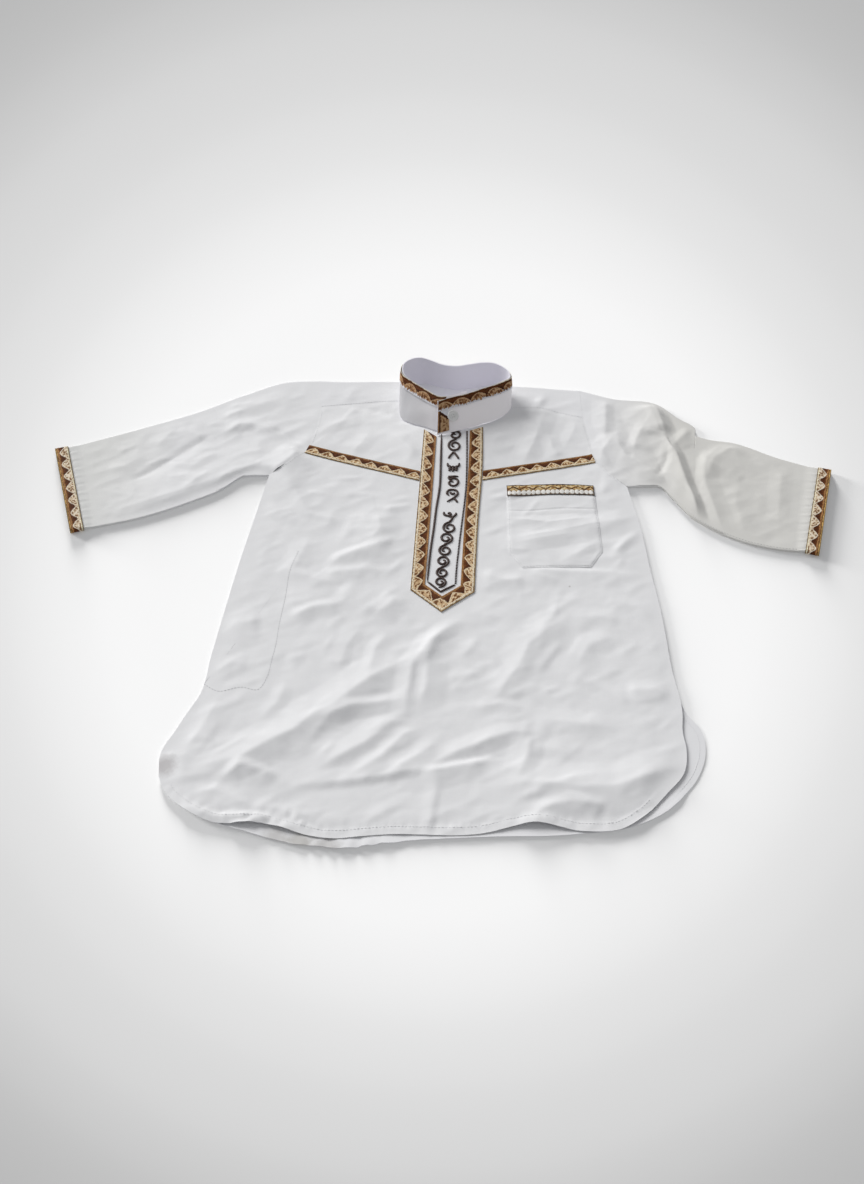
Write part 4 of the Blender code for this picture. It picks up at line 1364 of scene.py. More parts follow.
@dataclass
class Tube:
    """Rings round a flattened tube.

    Each ring runs over the upper layer, round the fold at the underarm seam, back under, and round
    the top fold. A point is its place on the tube's middle plane plus its outward direction times the
    turn's radius and what is added to it.
    """

    plan: Array
    lift: Array
    fold_steps: int = 6
    under_columns: int = 40
    spine: Array = field(init=False)
    outward: Array = field(init=False)

    def __post_init__(self) -> None:
        """Works out the spine and the outward directions."""
        across = self.plan[:, -1] - self.plan[:, 0]
        unit = across / np.linalg.norm(across, axis=1)[:, None]
        flat = np.array(self.plan)
        flat[:, 0] += unit * TURN
        flat[:, -1] -= unit * TURN
        rows, columns = flat.shape[:2]
        angles = np.linspace(math.pi / 2, -math.pi / 2, self.fold_steps + 1)[1:-1]
        share = np.linspace(1, 0, self.under_columns + 1) * (columns - 1)
        low = np.minimum(share.astype(int), columns - 2)
        part = (share - low)[None, :, None]
        under = flat[:, low] * (1 - part) + flat[:, low + 1] * part
        turn = np.ones((1, len(angles), 1))
        plane = np.concatenate([flat, flat[:, -1:] * turn, under, flat[:, :1] * turn], 1)
        middle = (LOWER + TURN + self.lift)[:, None, None] * np.ones((1, plane.shape[1], 1))
        self.spine = np.concatenate([plane, middle], 2)
        cos, sin = np.cos(angles)[None, :, None], np.sin(angles)[None, :, None]
        side = np.concatenate([unit[:, None] * cos, sin * np.ones((rows, 1, 1))], 2)
        back = np.concatenate([-unit[:, None] * cos[:, ::-1], sin[:, ::-1] * np.ones((rows, 1, 1))], 2)
        up = np.broadcast_to([0.0, 0.0, 1.0], (rows, columns, 3))
        down = np.broadcast_to([0.0, 0.0, -1.0], (rows, len(share), 3))
        self.outward = np.concatenate([up, side, down, back], 1)

    def points(self, grow: Array | float) -> Array:
        """The rings, moved outward by an amount."""
        return self.spine + self.outward * (TURN + np.broadcast_to(grow, self.spine.shape[:2]))[..., None]


@dataclass
class Sleeve:
    """A sleeve as one flattened tube, open at the armhole and the cuff."""

    finish: Material
    node: str
    stations: tuple[Arm, ...]
    armhole: tuple[Edge, ...]
    tip: Edge
    side: int
    rows: int = 118
    wrap_columns: int = 20
    armhole_columns: int = 56
    cuff_rows: int = 6
    cuff_calm: float = 34.0
    edge_calm: float = 13.0
    trim_lift: float = 1.2

    def plan(self) -> tuple[Array, Array, Array]:
        """Plan from the armhole to the cuff.

        Returns:
            The sleeve's grid, the cuff's line from top edge to underarm, and the direction out of it.
        """
        gap = np.array([self.side * SEAM, 0])
        start = joined(evenly([self.tip, self.armhole[0]], self.wrap_columns + 1),
                       along(self.armhole, self.armhole_columns + 1)) + gap
        top = along([start[0]] + [(s.top_x, s.top_y) for s in self.stations[1:]], self.rows + 1)
        under = along([start[-1]] + [(s.under_x, s.under_y) for s in self.stations[1:]], self.rows + 1)
        end = np.linspace(top[-1], under[-1], len(start))
        line = under[-1] - top[-1]
        out = np.array([-line[1], line[0]]) / np.linalg.norm(line)
        return coons(start, end, top, under), end, out * np.sign(out[0]) * self.side

    def pucker(self, from_cuff: Array, share: Array) -> Array:
        """Short ruckles where the trim's stitching draws the cloth in."""
        wave = np.sin(share * 88) * 0.6 + np.sin(share * 151 + 1) * 0.4
        return 0.26 * wave * bell((from_cuff - 3) / 5.5)

    def build(self) -> None:
        """Builds the sleeve: the tube with its upper layer raised by the creases."""
        body, end, out = self.plan()
        cuff = between(end + out * 0.3, end + out * (CUFF_WIDTH - 0.8), self.cuff_rows)
        plan = np.concatenate([body, cuff])
        x, y = plan[..., 0], plan[..., 1]
        from_cuff = from_route(x, y, end[[0, -1]])[0]
        from_cuff[len(body):] = 0
        near = np.minimum(from_route(x, y, plan[:, 0])[0], from_route(x, y, plan[:, -1])[0])
        calm = smooth_step(from_cuff / self.cuff_calm) * smooth_step(near / self.edge_calm)
        share = np.linspace(0, 1, plan.shape[1])[None, :] * np.ones((len(plan), 1))
        top = calm * LIE.relief(x, y).clip(-1.2) + self.pucker(from_cuff, share) * (from_cuff > 0)
        top += LIE.seam_dip(x, y)
        lift = self.trim_lift * (1 - smooth_step(from_cuff[:, 0] / CUFF_WIDTH))
        tube = Tube(plan, lift)
        grow = np.zeros(tube.spine.shape[:2])
        grow[:, : plan.shape[1]] = top
        points = tube.points(grow)
        order = slice(None, None, -self.side)
        grid = Grid(points[order], flat_chart(points, True)[order], ring=True)
        piece = Workshop.piece(self.node + "_cloth", [grid], self.finish, Slot.CLOTH, self.node, WALL)
        wide = 2 * float(np.linalg.norm(plan[0, -1] - plan[0, 0])) * MM
        length = float(np.linalg.norm(np.diff(plan[:, plan.shape[1] // 2], axis=0), axis=1).sum()) * MM
        Workshop.sheet(piece, [grid], flat=(round(wide, 3), round(length, 3)))


class Zone(NamedTuple):
    """A plain stripe of a trim: where it starts and ends across it, its colour and its height."""

    start: float
    end: float
    colour: Colour
    height: float


@dataclass(frozen=True)
class Ornament:
    """A row of scallops with dark wedges between them, edged by stripes and beads.

    s runs along the trim and t across it, both in millimetres. A scallop is where a sum of powers of
    its two shares, along and across, is under one: power 2 gives half an ellipse and power 1 a
    triangle. The wedges are what the scallops leave between the stripe and the apex line. Beads are
    half balls in a row, and a fringe lets the scallops' feet end in uneven strands.
    """

    width: float
    period: float
    zones: tuple[Zone, ...]
    base: float
    apex: float
    foot: float
    top: float
    beads: float = 0.0
    bead: float = 0.75
    power: float = 1.5
    fringe: float = 0.0
    ground: Colour = (0.80, 0.68, 0.50)
    dark: Colour = (0.29, 0.15, 0.07)
    base_dark: Colour = (0.54, 0.34, 0.17)
    hill: Colour = (0.78, 0.64, 0.46)
    fleck: Colour = (0.47, 0.31, 0.18)
    cord: Colour = (0.92, 0.84, 0.71)
    pearl: Colour = (0.95, 0.90, 0.80)
    seed: int = 11

    def speckled(self, s: Array, t: Array, main: Colour, seed: int) -> Array:
        """A thread's colour with dark and light flecks strewn over it.

        Args:
            s: Length along the trim.
            t: Distance across it.
            main: The thread's colour.
            seed: Picks the flecks' places.

        Returns:
            The colour at each point.
        """
        grain = ripple(s, t, 1.35, seed)[..., None]
        colour = np.array(main) * (1 + 0.1 * ripple(s, t, 0.8, seed + 1)[..., None])
        return np.where(grain > 0.26, self.fleck, np.where(grain < -0.34, self.cord, colour))

    def paint(self, s: Array, t: Array) -> tuple[Array, Array]:
        """The trim's relief and colour.

        Args:
            s: Length along the trim.
            t: Distance across it.

        Returns:
            The height in millimetres, and the colour.
        """
        wobble = 0.5 * ripple(s, t, 2.6, self.seed)
        off = (s / self.period % 1.0 - 0.5) * self.period + wobble
        height = 0.2 + 0.12 * ripple(s, t, 1.1, self.seed + 1)
        colour = np.broadcast_to(np.array(self.ground), (*s.shape, 3)).copy()
        if not self.fringe:
            colour = self.speckled(s, t, self.ground, self.seed + 2)

        wedge = (t >= self.base) & (t < self.apex)
        fade = 0.5 * (1 - (t - self.base) / (self.apex - self.base)).clip(0, 1)[..., None] ** 1.6
        shade = np.array(self.dark) * (1 - fade) + np.array(self.base_dark) * fade
        shade = shade * (1 + 0.3 * ripple(s, t, 0.9, self.seed + 5)[..., None])
        colour = np.where(wedge[..., None], shade, colour)
        height = np.where(wedge, 0.35 + 0.08 * np.sin(off * 5), height)

        strands = self.fringe * np.abs(ripple(s, t * 0.12, 0.9, self.seed + 10))
        foot = self.foot + strands + 0.3 * wobble
        across = ((foot - t) / (foot - self.top)).clip(0)
        share = (np.abs(off) / (0.5 * self.period)) ** self.power + across**self.power
        inside = (t < foot) & (share < 1)
        colour = np.where(inside[..., None], self.speckled(s, t, self.hill, self.seed + 3), colour)
        height = np.where(inside, 0.35 + 0.18 * np.sqrt((1 - share).clip(0)), height)
        edge = (share > 0.87) & (share < 1.03) & (t < foot)
        self.lay(colour, edge, self.cord, 0.1 * ripple(s, t, 0.8, self.seed + 6))
        height = np.where(edge, 0.6, height)
        if self.fringe:
            left_over = ripple(s, t * 0.2, 0.8, self.seed + 11) > 0.1
            tip = (t > self.foot - 1.2) & (t < self.foot + 1.6) & left_over
            self.lay(colour, tip, self.fleck, 0.3 * ripple(s, t, 0.8, self.seed + 12))
            height = np.where(tip, 0.3, height)

        if self.beads > 0:
            pitch = self.bead * 2.15
            ball = np.hypot((s / pitch % 1 - 0.5) * pitch, t - self.beads) / self.bead
            self.lay(colour, ball < 1, self.pearl, 0.06 * ripple(s, t, 1.6, self.seed + 7))
            height = np.where(ball < 1, 0.3 + 0.5 * np.sqrt((1 - ball**2).clip(0)), height)
        for zone in self.zones:
            drift = 0.25 * ripple(s, t * 0, 3.1, self.seed + 8)
            stripe = (t >= zone.start + drift) & (t < zone.end + drift)
            self.lay(colour, stripe, zone.colour, 0.22 * ripple(s, t, 0.9, self.seed + 13))
            round_it = 1 - ((t - (zone.start + zone.end) / 2) / max(zone.end - zone.start, 0.1)) ** 2
            height = np.where(stripe, zone.height * round_it.clip(0.4), height)
        return height, colour

    @staticmethod
    def lay(colour: Array, where: Array, thread: Colour, uneven: Array) -> None:
        """Lays a thread's colour over part of the trim, a little lighter and darker along it."""
        colour[where] = (np.array(thread) * (1 + uneven[..., None]))[where]


GOLD = (0.78, 0.64, 0.40)
BRONZE = (0.63, 0.46, 0.29)
BROWN = (0.34, 0.18, 0.07)
OLIVE = (0.50, 0.40, 0.24)
CREAM = (0.93, 0.88, 0.77)
WHITE = (0.90, 0.90, 0.92)

CUFF_ORNAMENT = Ornament(
    width=CUFF_WIDTH, period=16.6, base=3.4, apex=9.0, foot=11.6, top=3.9, power=1.35,
    hill=(0.87, 0.78, 0.66), fleck=(0.52, 0.39, 0.28), ground=(0.84, 0.73, 0.59), cord=(0.95, 0.90, 0.82),
    zones=(Zone(-1, 0.8, OLIVE, 0.5), Zone(0.8, 1.5, GOLD, 0.4), Zone(1.5, 2.1, BROWN, 0.35),
           Zone(2.1, 3.6, BRONZE, 0.6), Zone(11.3, 12.3, CREAM, 0.5), Zone(12.3, 14, OLIVE, 0.35)))
CHEST_ORNAMENT = Ornament(
    width=CHEST_WIDTH, period=15.0, base=1.0, apex=7.6, foot=9.6, top=2.6, beads=10.2, bead=0.72, power=1.2,
    zones=(Zone(-1, 0.5, OLIVE, 0.4), Zone(0.5, 1.4, BRONZE, 0.5), Zone(11.1, 13, OLIVE, 0.35)), seed=31)
PLACKET_ORNAMENT = Ornament(
    width=PLACKET_TRIM_WIDTH, period=17.0, base=1.8, apex=8.6, foot=10.4, top=2.4, beads=11.2, bead=0.85,
    power=1.35, hill=(0.82, 0.69, 0.53),
    zones=(Zone(-1, 1.9, BRONZE, 0.5), Zone(12.3, 14, OLIVE, 0.35)), seed=51)
COLLAR_ORNAMENT = Ornament(
    width=COLLAR_TRIM_WIDTH, period=18.0, base=1.6, apex=7.8, foot=8.2, top=3.0, power=1.6, fringe=3.4,
    ground=WHITE, hill=(0.66, 0.50, 0.35), fleck=(0.46, 0.30, 0.19), cord=(0.79, 0.65, 0.50),
    zones=(Zone(-1, 0.8, CREAM, 0.5), Zone(0.8, 2.4, BROWN, 0.5)), seed=71)


def laid_tape(plan: Array, chart: Array, ornament: Ornament, under: float = 0.0) -> Grid:
    """A tape on the front.

    Args:
        plan: Rows across the tape by columns along it.
        chart: Length along and distance across the tape of each point.
        ornament: Its ornament.
        under: Thickness of what lies between it and the front.

    Returns:
        The grid of its upper face, with its relief and colours.
    """
    relief, colour = ornament.paint(chart[..., 0], chart[..., 1])
    height = LIE.on_front(plan[..., 0], plan[..., 1]) + under + SEWN_GAP + TAPE_WALL + 0.75 * relief
    return upward(raised(plan, height), chart, colour)


@dataclass
class CuffTrim:
    """The trim round the end of a sleeve."""

    finish: Material
    node: str
    sleeve: Sleeve
    across: int = 27
    upper: int = 220
    under: int = 110
    gap: float = 0.1

    def build(self) -> None:
        """Builds the trim as a ring round the cuff, whose ornament repeats a whole number of times."""
        _, end, out = self.sleeve.plan()
        line = np.linspace(end[0], end[-1], self.upper)
        plan = between(line + out * 0.2, line + out * CUFF_WIDTH, self.across - 1)[::-1]
        tube = Tube(plan, np.full(self.across, self.sleeve.trim_lift), 10, self.under)
        grow = WALL / 2 + self.gap + TAPE_WALL
        chart = flat_chart(tube.points(grow), True)
        total = chart[0, -1, 0]
        repeats = round(total / CUFF_ORNAMENT.period)
        s = chart[:, :-1, 0] / total * repeats * CUFF_ORNAMENT.period
        t = np.linspace(0, CUFF_WIDTH, self.across)[:, None] + 0 * s
        relief, colour = CUFF_ORNAMENT.paint(s, t)
        order = slice(None, None, self.sleeve.side)
        grid = Grid(tube.points(grow + relief)[order], chart[order], colour[order], True)
        Workshop.piece(self.node + "_tape", [grid], self.finish, Slot.TRIM, self.node, TAPE_WALL, -1.0)


@dataclass
class ChestTrim:
    """A strip of trim across the chest."""

    finish: Material
    node: str
    top: tuple[Edge, Edge]
    inner: float
    ornament: Ornament = CHEST_ORNAMENT
    cell: float = 0.5

    def build(self) -> None:
        """Builds the strip: straight rows below its top edge, cut off at the inner end's x."""
        start, end = (np.array(tuple(p), float) for p in self.top)
        length = float(np.linalg.norm(end - start))
        run = (end - start) / length
        down = np.array([run[1], -run[0]])
        t = np.linspace(0, self.ornament.width, round(self.ornament.width / 0.45))[:, None, None]
        cut = (self.inner - start[0] - down[0] * t) / run[0]
        low, high = (0 * t, cut) if self.inner < 0 else (cut, length + 0 * t)
        s = low + (high - low) * np.linspace(0, 1, round(length / self.cell))[None, :, None]
        plan = start + run * s + down * t
        chart = np.concatenate([s + 0 * t, t + 0 * s], -1)
        grid = laid_tape(plan, chart, self.ornament)
        Workshop.piece(self.node + "_tape", [grid], self.finish, Slot.TRIM, self.node, TAPE_WALL, -1.0)


@dataclass
class Placket:
    """The pointed strip down the front and its trim."""

    cloth: Material
    tape: Material
    rows: int = 150
    columns: int = 44
    inset: float = 0.3
    inner_shoulder: float = 7.0
    inner_tip: float = 19.0
    trim_rows: int = 28
    fuller: float = 1.9
    fuller_at: tuple[float, float] = (-134.0, 52.0)
    cut: tuple[float, float] = (0.058, 0.236)

    def eased(self, plan: Array) -> Array:
        """The plan with its left side a little wider beside the chest: a bell down its length.

        Args:
            plan: The points in plan.

        Returns:
            The points, moved.
        """
        x, y = plan[..., 0], plan[..., 1]
        wider = self.fuller * bell((y - self.fuller_at[0]) / self.fuller_at[1])
        return np.stack([x + wider * smooth_step(x / PLACKET_HALF), y], -1)

    def edge(self, half: float, shoulder: float, tip_y: float) -> list[Edge]:
        """Corners of the outline at a half width.

        Args:
            half: The half width.
            shoulder: Where the point starts, in y.
            tip_y: Where it ends.

        Returns:
            The top, the shoulder of the point, the tip, and back up.
        """
        lean = PLACKET_TIP.x
        top_x, top_y = np.array(PLACKET_TOP).T
        return [
            Edge(-half, float(np.interp(-half, top_x, top_y))),
            Edge(lean - half, shoulder),
            Edge(lean, tip_y),
            Edge(lean + half, shoulder),
            Edge(half, float(np.interp(half, top_x, top_y))),
        ]

    def surface(self, x: Array, y: Array) -> Array:
        """Height of the placket's upper face."""
        return LIE.on_front(x, y) + SEWN_GAP + SEWN_WALL

    def build_panel(self) -> None:
        """Builds the strip of cloth: rows from the point's edge up to the top edge."""
        corners = self.edge(PLACKET_HALF, PLACKET_SHOULDER, PLACKET_TIP.y)
        bottom = evenly(corners[1:4], self.columns + 1)
        top = evenly(PLACKET_TOP, self.columns + 1)
        plan = self.eased(between(bottom, top, self.rows))
        grid = upward(raised(plan, self.surface(plan[..., 0], plan[..., 1])), flat_chart(plan))
        piece = Workshop.piece("placket_panel", [grid], self.cloth, Slot.CLOTH, "placket", SEWN_WALL, -1.0)
        Workshop.sheet(piece, [grid], 4, flat=self.cut, rests_on=["front_panel"])

    def build_trim(self) -> None:
        """Builds the trim down both sides and round the point, mitred at its corners."""
        outer = self.edge(PLACKET_HALF - self.inset, PLACKET_SHOULDER, PLACKET_TIP.y + self.inset)
        inner = self.edge(PLACKET_HALF - PLACKET_TRIM_WIDTH, PLACKET_SHOULDER + self.inner_shoulder,
                          PLACKET_TIP.y + self.inner_tip)
        middle = (np.array(inner) + np.array(outer)) / 2
        runs = np.linalg.norm(np.diff(middle, axis=0), axis=1)
        counts = [max(2, round(run / 0.5)) for run in runs]
        lines = [joined(*[np.linspace(a, b, n + 1) for a, b, n in zip(edge[:-1], edge[1:], counts)])
                 for edge in (inner, outer)]
        plan = self.eased(between(lines[0], lines[1], self.trim_rows))
        s = np.concatenate([[0], np.cumsum(np.repeat(runs / counts, counts))])
        t = np.linspace(0, PLACKET_TRIM_WIDTH, self.trim_rows + 1)
        chart = np.stack(np.meshgrid(s, t), -1)
        grid = laid_tape(plan, chart, PLACKET_ORNAMENT, SEWN_GAP + SEWN_WALL)
        Workshop.piece("placket_trim_tape", [grid], self.tape, Slot.TRIM, "placket_trim", TAPE_WALL, -1.0)


def threads(paths: Sequence[Array], radius: float, sides: int = 8, flat: float = 0.75) -> list[Grid]:
    """Threads along paths: a flattened ring at each point, shrinking to nothing at both ends.

    Args:
        paths: Points of each thread's middle, in millimetres.
        radius: Half its width.
        sides: Corners of its section.
        flat: Its height over its width.

    Returns:
        One closed ring grid for each thread.
    """
    made = []
    for path in paths:
        run = np.gradient(path, axis=0)
        run /= np.linalg.norm(run, axis=1)[:, None].clip(1e-9)
        side = np.cross([0.0, 0.0, 1.0], run)
        side /= np.linalg.norm(side, axis=1)[:, None].clip(1e-9)
        up = np.cross(run, side)
        share = np.linspace(0, 1, len(path))
        taper = np.sqrt((1 - (2 * share - 1) ** 8).clip(0.0))[:, None, None] * radius
        angle = np.linspace(0, math.tau, sides, endpoint=False)[None, :, None]
        ring = path[:, None] + taper * (np.cos(angle) * side[:, None] + np.sin(angle) * flat * up[:, None])
        made.append(Grid(ring, flat_chart(ring, True), ring=True))
    return made


class Mark(Enum):
    """Kinds of motif in the placket's column."""

    SCROLL = "scroll"
    RING = "ring"
    CHEVRON = "chevron"
    HORNS = "horns"
    COMB = "comb"
    HOOK = "hook"


@dataclass
class Scrolls:
    """The dark embroidery on the placket: a column of scrolls and small marks between two lines."""

    finish: Material
    placket: Placket
    thread: float = 1.16
    line: float = 1.05
    dash: float = 1.0
    column: tuple[tuple[Mark, float, float, float, int], ...] = (
        (Mark.RING, 2.4, -89.0, 4.6, 1),
        (Mark.SCROLL, 1.8, -104.0, 5.2, -1),
        (Mark.CHEVRON, 1.8, -117.2, 5.0, 1),
        (Mark.COMB, 2.0, -135.0, 5.2, 1),
        (Mark.RING, 2.4, -151.5, 4.8, 1),
        (Mark.HOOK, 2.2, -168.5, 5.0, 1),
        (Mark.HORNS, 1.0, -197.5, 5.4, 1),
        (Mark.SCROLL, 0.8, -211.5, 4.9, -1),
        (Mark.SCROLL, -0.8, -226.0, 4.8, 1),
        (Mark.SCROLL, -2.0, -241.0, 4.7, -1),
        (Mark.SCROLL, -2.8, -255.5, 4.6, 1),
        (Mark.SCROLL, -3.5, -269.0, 4.3, -1),
        (Mark.SCROLL, -4.0, -281.5, 4.1, 1),
    )
    left_line: tuple[Edge, ...] = (Edge(-11.2, -88), Edge(-10.5, -124), Edge(-10.1, -159), Edge(-12.2, -187),
                                   Edge(-13.3, -211), Edge(-15.3, -245), Edge(-16.2, -281))
    point_line: tuple[Edge, ...] = (Edge(-16.2, -281), Edge(-3.6, -293), Edge(9.4, -283.5))
    right_line: tuple[Edge, ...] = (Edge(13.8, -84), Edge(14.9, -122.6), Edge(15.2, -158), Edge(13.8, -187.7),
                                    Edge(12.4, -211.4), Edge(11.1, -235), Edge(9.8, -262), Edge(9.4, -283.5))

    def strokes(self, kind: Mark, x: float, y: float, size: float, hand: int) -> list[Array]:
        """Strokes of one motif in plan.

        Args:
            kind: The motif.
            x: Its middle.
            y: Its middle.
            size: Half its width.
            hand: 1 or -1, the way it turns.

        Returns:
            The strokes' points.
        """
        shapes = {
            Mark.SCROLL: (
                ((-0.5, -1.5), (0.2, -1.3), (0.9, -0.6), (1.0, 0.4), (0.3, 1.2), (-0.6, 1.05), (-1.0, 0.3),
                 (-0.72, -0.5), (-0.05, -0.72), (0.42, -0.3), (0.3, 0.3), (-0.15, 0.38)),),
            Mark.RING: (
                ((1.1, 1.5), (0.1, 1.45), (-0.9, 1.1), (-0.6, 0.55), (0.1, 0.95), (0.85, 0.6), (1.0, -0.3),
                 (0.35, -1.1), (-0.5, -0.95), (-0.8, -0.3), (-0.35, 0.15), (0.15, -0.2)),
                ((-1.0, 1.5), (-0.5, 1.15), (0.1, 1.1))),
            Mark.CHEVRON: (
                ((-1.0, -0.9), (-0.75, -0.3), (-0.2, 0.6), (0.05, 0.9)),
                ((1.0, -0.9), (0.75, -0.35), (0.25, 0.5), (0.05, 0.9))),
            Mark.HORNS: (
                ((-1.05, 1.15), (-0.95, 0.45), (-0.35, 0.2), (0.15, 0.45), (0.0, 0.9), (-0.45, 0.75)),
                ((1.1, 1.05), (1.0, 0.45), (0.55, -0.1), (0.35, -0.75), (-0.15, -1.35)),
                ((-0.35, 0.2), (0.35, -0.1), (0.6, -0.2))),
            Mark.COMB: (
                ((-1.1, 1.5), (-0.95, 0.7), (0.0, 0.45), (0.95, 0.8), (1.1, 1.6)),
                ((-0.95, 0.1), (0.0, -0.15), (0.95, 0.15)),
                ((-0.7, 0.9), (-0.6, 0.2), (-0.75, -0.6)),
                ((-0.1, 0.8), (0.0, 0.0), (-0.1, -0.7)),
                ((0.6, 0.9), (0.55, 0.1), (0.65, -0.5))),
            Mark.HOOK: (
                ((-0.5, -0.3), (-1.0, 0.3), (-0.75, 1.05), (0.1, 1.3), (0.95, 0.9), (1.0, 0.1), (0.45, -0.7),
                 (-0.2, -1.35), (-1.0, -1.9)),
                ((0.3, -0.85), (0.75, -1.4), (1.1, -2.0)),
                ((-0.45, 0.6), (0.05, 0.15), (0.55, 0.5))),
        }
        return [along([(x + hand * size * a, y + hand * size * b) for a, b in shape], 6 * len(shape))
                for shape in shapes[kind]]

    def laid(self, plan: Array, radius: float) -> Array:
        """A stroke laid on the placket."""
        return np.column_stack([plan, self.placket.surface(plan[:, 0], plan[:, 1]) + radius * 0.55])

    def build(self) -> None:
        """Builds the scrolls, the left satin line, the point's line and the right line's dashes."""
        strokes = [self.laid(stroke, 0.8) for row in self.column for stroke in self.strokes(*row)]
        Workshop.piece("placket_scrolls", threads(strokes, self.thread), self.finish, Slot.TRIM)
        left, point = along(self.left_line, 120), evenly(self.point_line, 40)
        lines = threads([self.laid(left, 0.9), self.laid(point, 0.8)], self.line)
        right = along(self.right_line, 501)
        dashes = [self.laid(right[k: k + 4], 0.8) for k in range(0, 496, 5)]
        lines += threads(dashes, self.dash, 6)
        Workshop.piece("placket_lines", lines, self.finish, Slot.TRIM)


@dataclass
class Pocket:
    """The chest pocket and the trim along its mouth."""

    cloth: Material
    tape: Material
    rows: int = 140
    columns: int = 60
    trim_columns: int = 190
    trim_rows: int = 36
    arch: float = 1.7
    turned: tuple[Edge, ...] = (Edge(40, -187), Edge(54, -187), Edge(78, -186), Edge(108, -181.5),
                                Edge(155, -180))
    cut: tuple[float, float] = (0.09, 0.112)

    def mouth(self, count: int) -> Array:
        """The mouth's edge: straight, but for a low arch of half a sine wave.

        Args:
            count: How many points to return.

        Returns:
            The points, one row each.
        """
        line = evenly(POCKET_TOP, count)
        share = np.linspace(0, 1, count)
        line[:, 1] += self.arch * np.sin(math.pi * share**1.3)
        return line

    def surface(self, x: Array, y: Array) -> Array:
        """Height of the pocket's upper face: full in its middle, thicker where its mouth is turned in.

        Args:
            x: The points' x.
            y: The points' y.

        Returns:
            The height at each point.
        """
        edge = [*POCKET_BOTTOM, POCKET_TOP[1], POCKET_TOP[0], POCKET_BOTTOM[0]]
        full = smooth_step(from_route(x, y, edge)[0] / 3)
        near, side, _ = from_route(x, y, self.turned)
        turned = smooth_step(np.where(side > 0, near, -near) / 0.9 + 0.5)
        droop = 0.3 * bell((near - 3.5) / 3.5) * (side < 0) - 0.3 * bell(near / 0.8)
        return LIE.on_front(x, y) + SEWN_GAP + SEWN_WALL + (0.45 + 0.3 * turned + droop) * full

    def build_panel(self) -> None:
        """Builds the pocket: rows from its cut-off corners up to its mouth."""
        plan = between(evenly(POCKET_BOTTOM, self.columns + 1), self.mouth(self.columns + 1), self.rows)
        grid = upward(raised(plan, self.surface(plan[..., 0], plan[..., 1])), flat_chart(plan))
        piece = Workshop.piece("pocket_panel", [grid], self.cloth, Slot.CLOTH, "pocket", SEWN_WALL, -1.0)
        Workshop.sheet(piece, [grid], 4, flat=self.cut, rests_on=["front_panel"])

    def paint(self, s: Array, t: Array, length: float) -> tuple[Array, Array]:
        """The mouth's trim: a dark wavy outline, a dark zig-zag on gold above, white lumps below.

        Args:
            s: Length along the trim.
            t: Distance across it.
            length: The trim's length.

        Returns:
            The height in millimetres, and the colour.
        """
        width = POCKET_TRIM_WIDTH
        grain = ripple(s, t, 1.2, 121)
        colour = np.broadcast_to(np.array((0.80, 0.68, 0.47)), (*s.shape, 3)).copy()
        Ornament.lay(colour, grain > 0.3, (0.52, 0.38, 0.22), 0.2 * grain)
        Ornament.lay(colour, grain < -0.4, (0.92, 0.85, 0.70), 0.1 * grain)
        height = 0.25 + 0.1 * ripple(s, t, 0.9, 122)
        zig = np.abs((s / 12.4 % 1) - 0.5) * 2
        line = np.abs(t - (2.6 + 4.4 * zig) + 0.5 * ripple(s, t, 1.6, 128))
        Ornament.lay(colour, line < 0.9, (0.34, 0.22, 0.11), 0.35 * ripple(s, t, 0.8, 123))
        height = np.where(line < 0.9, 0.4, height)
        pitch = 4.6
        wander = 0.5 * ripple(s, t * 0, 4.0, 129)
        lump = np.hypot((((s + wander) / pitch % 1) - 0.5) * pitch / 2.25, (t - 10.6) / 2.85)
        low = t > 7.9 + 0.4 * ripple(s, t * 0, 2.2, 130)
        Ornament.lay(colour, low, (0.52, 0.45, 0.38), 0.3 * ripple(s, t, 0.8, 124))
        Ornament.lay(colour, lump < 1, (0.93, 0.92, 0.90), 0.06 * ripple(s, t, 1.5, 125))
        height = np.where(lump < 1, 0.3 + 0.5 * np.sqrt((1 - lump**2).clip(0)), height)
        wave = 0.3 * ripple(s, t * 0, 3.0, 126)
        rim = (t < 0.75 + wave) | (t > width - 0.85 + wave) | (s < 0.8) | (s > length - 0.8)
        Ornament.lay(colour, rim, (0.22, 0.15, 0.10), 0.2 * ripple(s, t, 0.9, 127))
        return np.where(rim, 0.4, height), colour

    def build_trim(self) -> None:
        """Builds the trim: straight rows below the mouth's edge."""
        line = self.mouth(self.trim_columns)
        length = float(np.linalg.norm(line[-1] - line[0]))
        run = (line[-1] - line[0]) / length
        down = np.array([run[1], -run[0]])
        s = np.linspace(0, length, self.trim_columns)[None, :, None]
        t = np.linspace(0, POCKET_TRIM_WIDTH, self.trim_rows)[:, None, None]
        plan = line[None] + down * t
        chart = np.concatenate([s + 0 * t, t + 0 * s], -1)
        relief, colour = self.paint(chart[..., 0], chart[..., 1], length)
        height = self.surface(plan[..., 0], plan[..., 1]) + SEWN_GAP + TAPE_WALL + 0.75 * relief
        grid = upward(raised(plan, height), chart, colour)
        Workshop.piece("pocket_trim_tape", [grid], self.tape, Slot.TRIM, "pocket_trim", TAPE_WALL, -1.0)


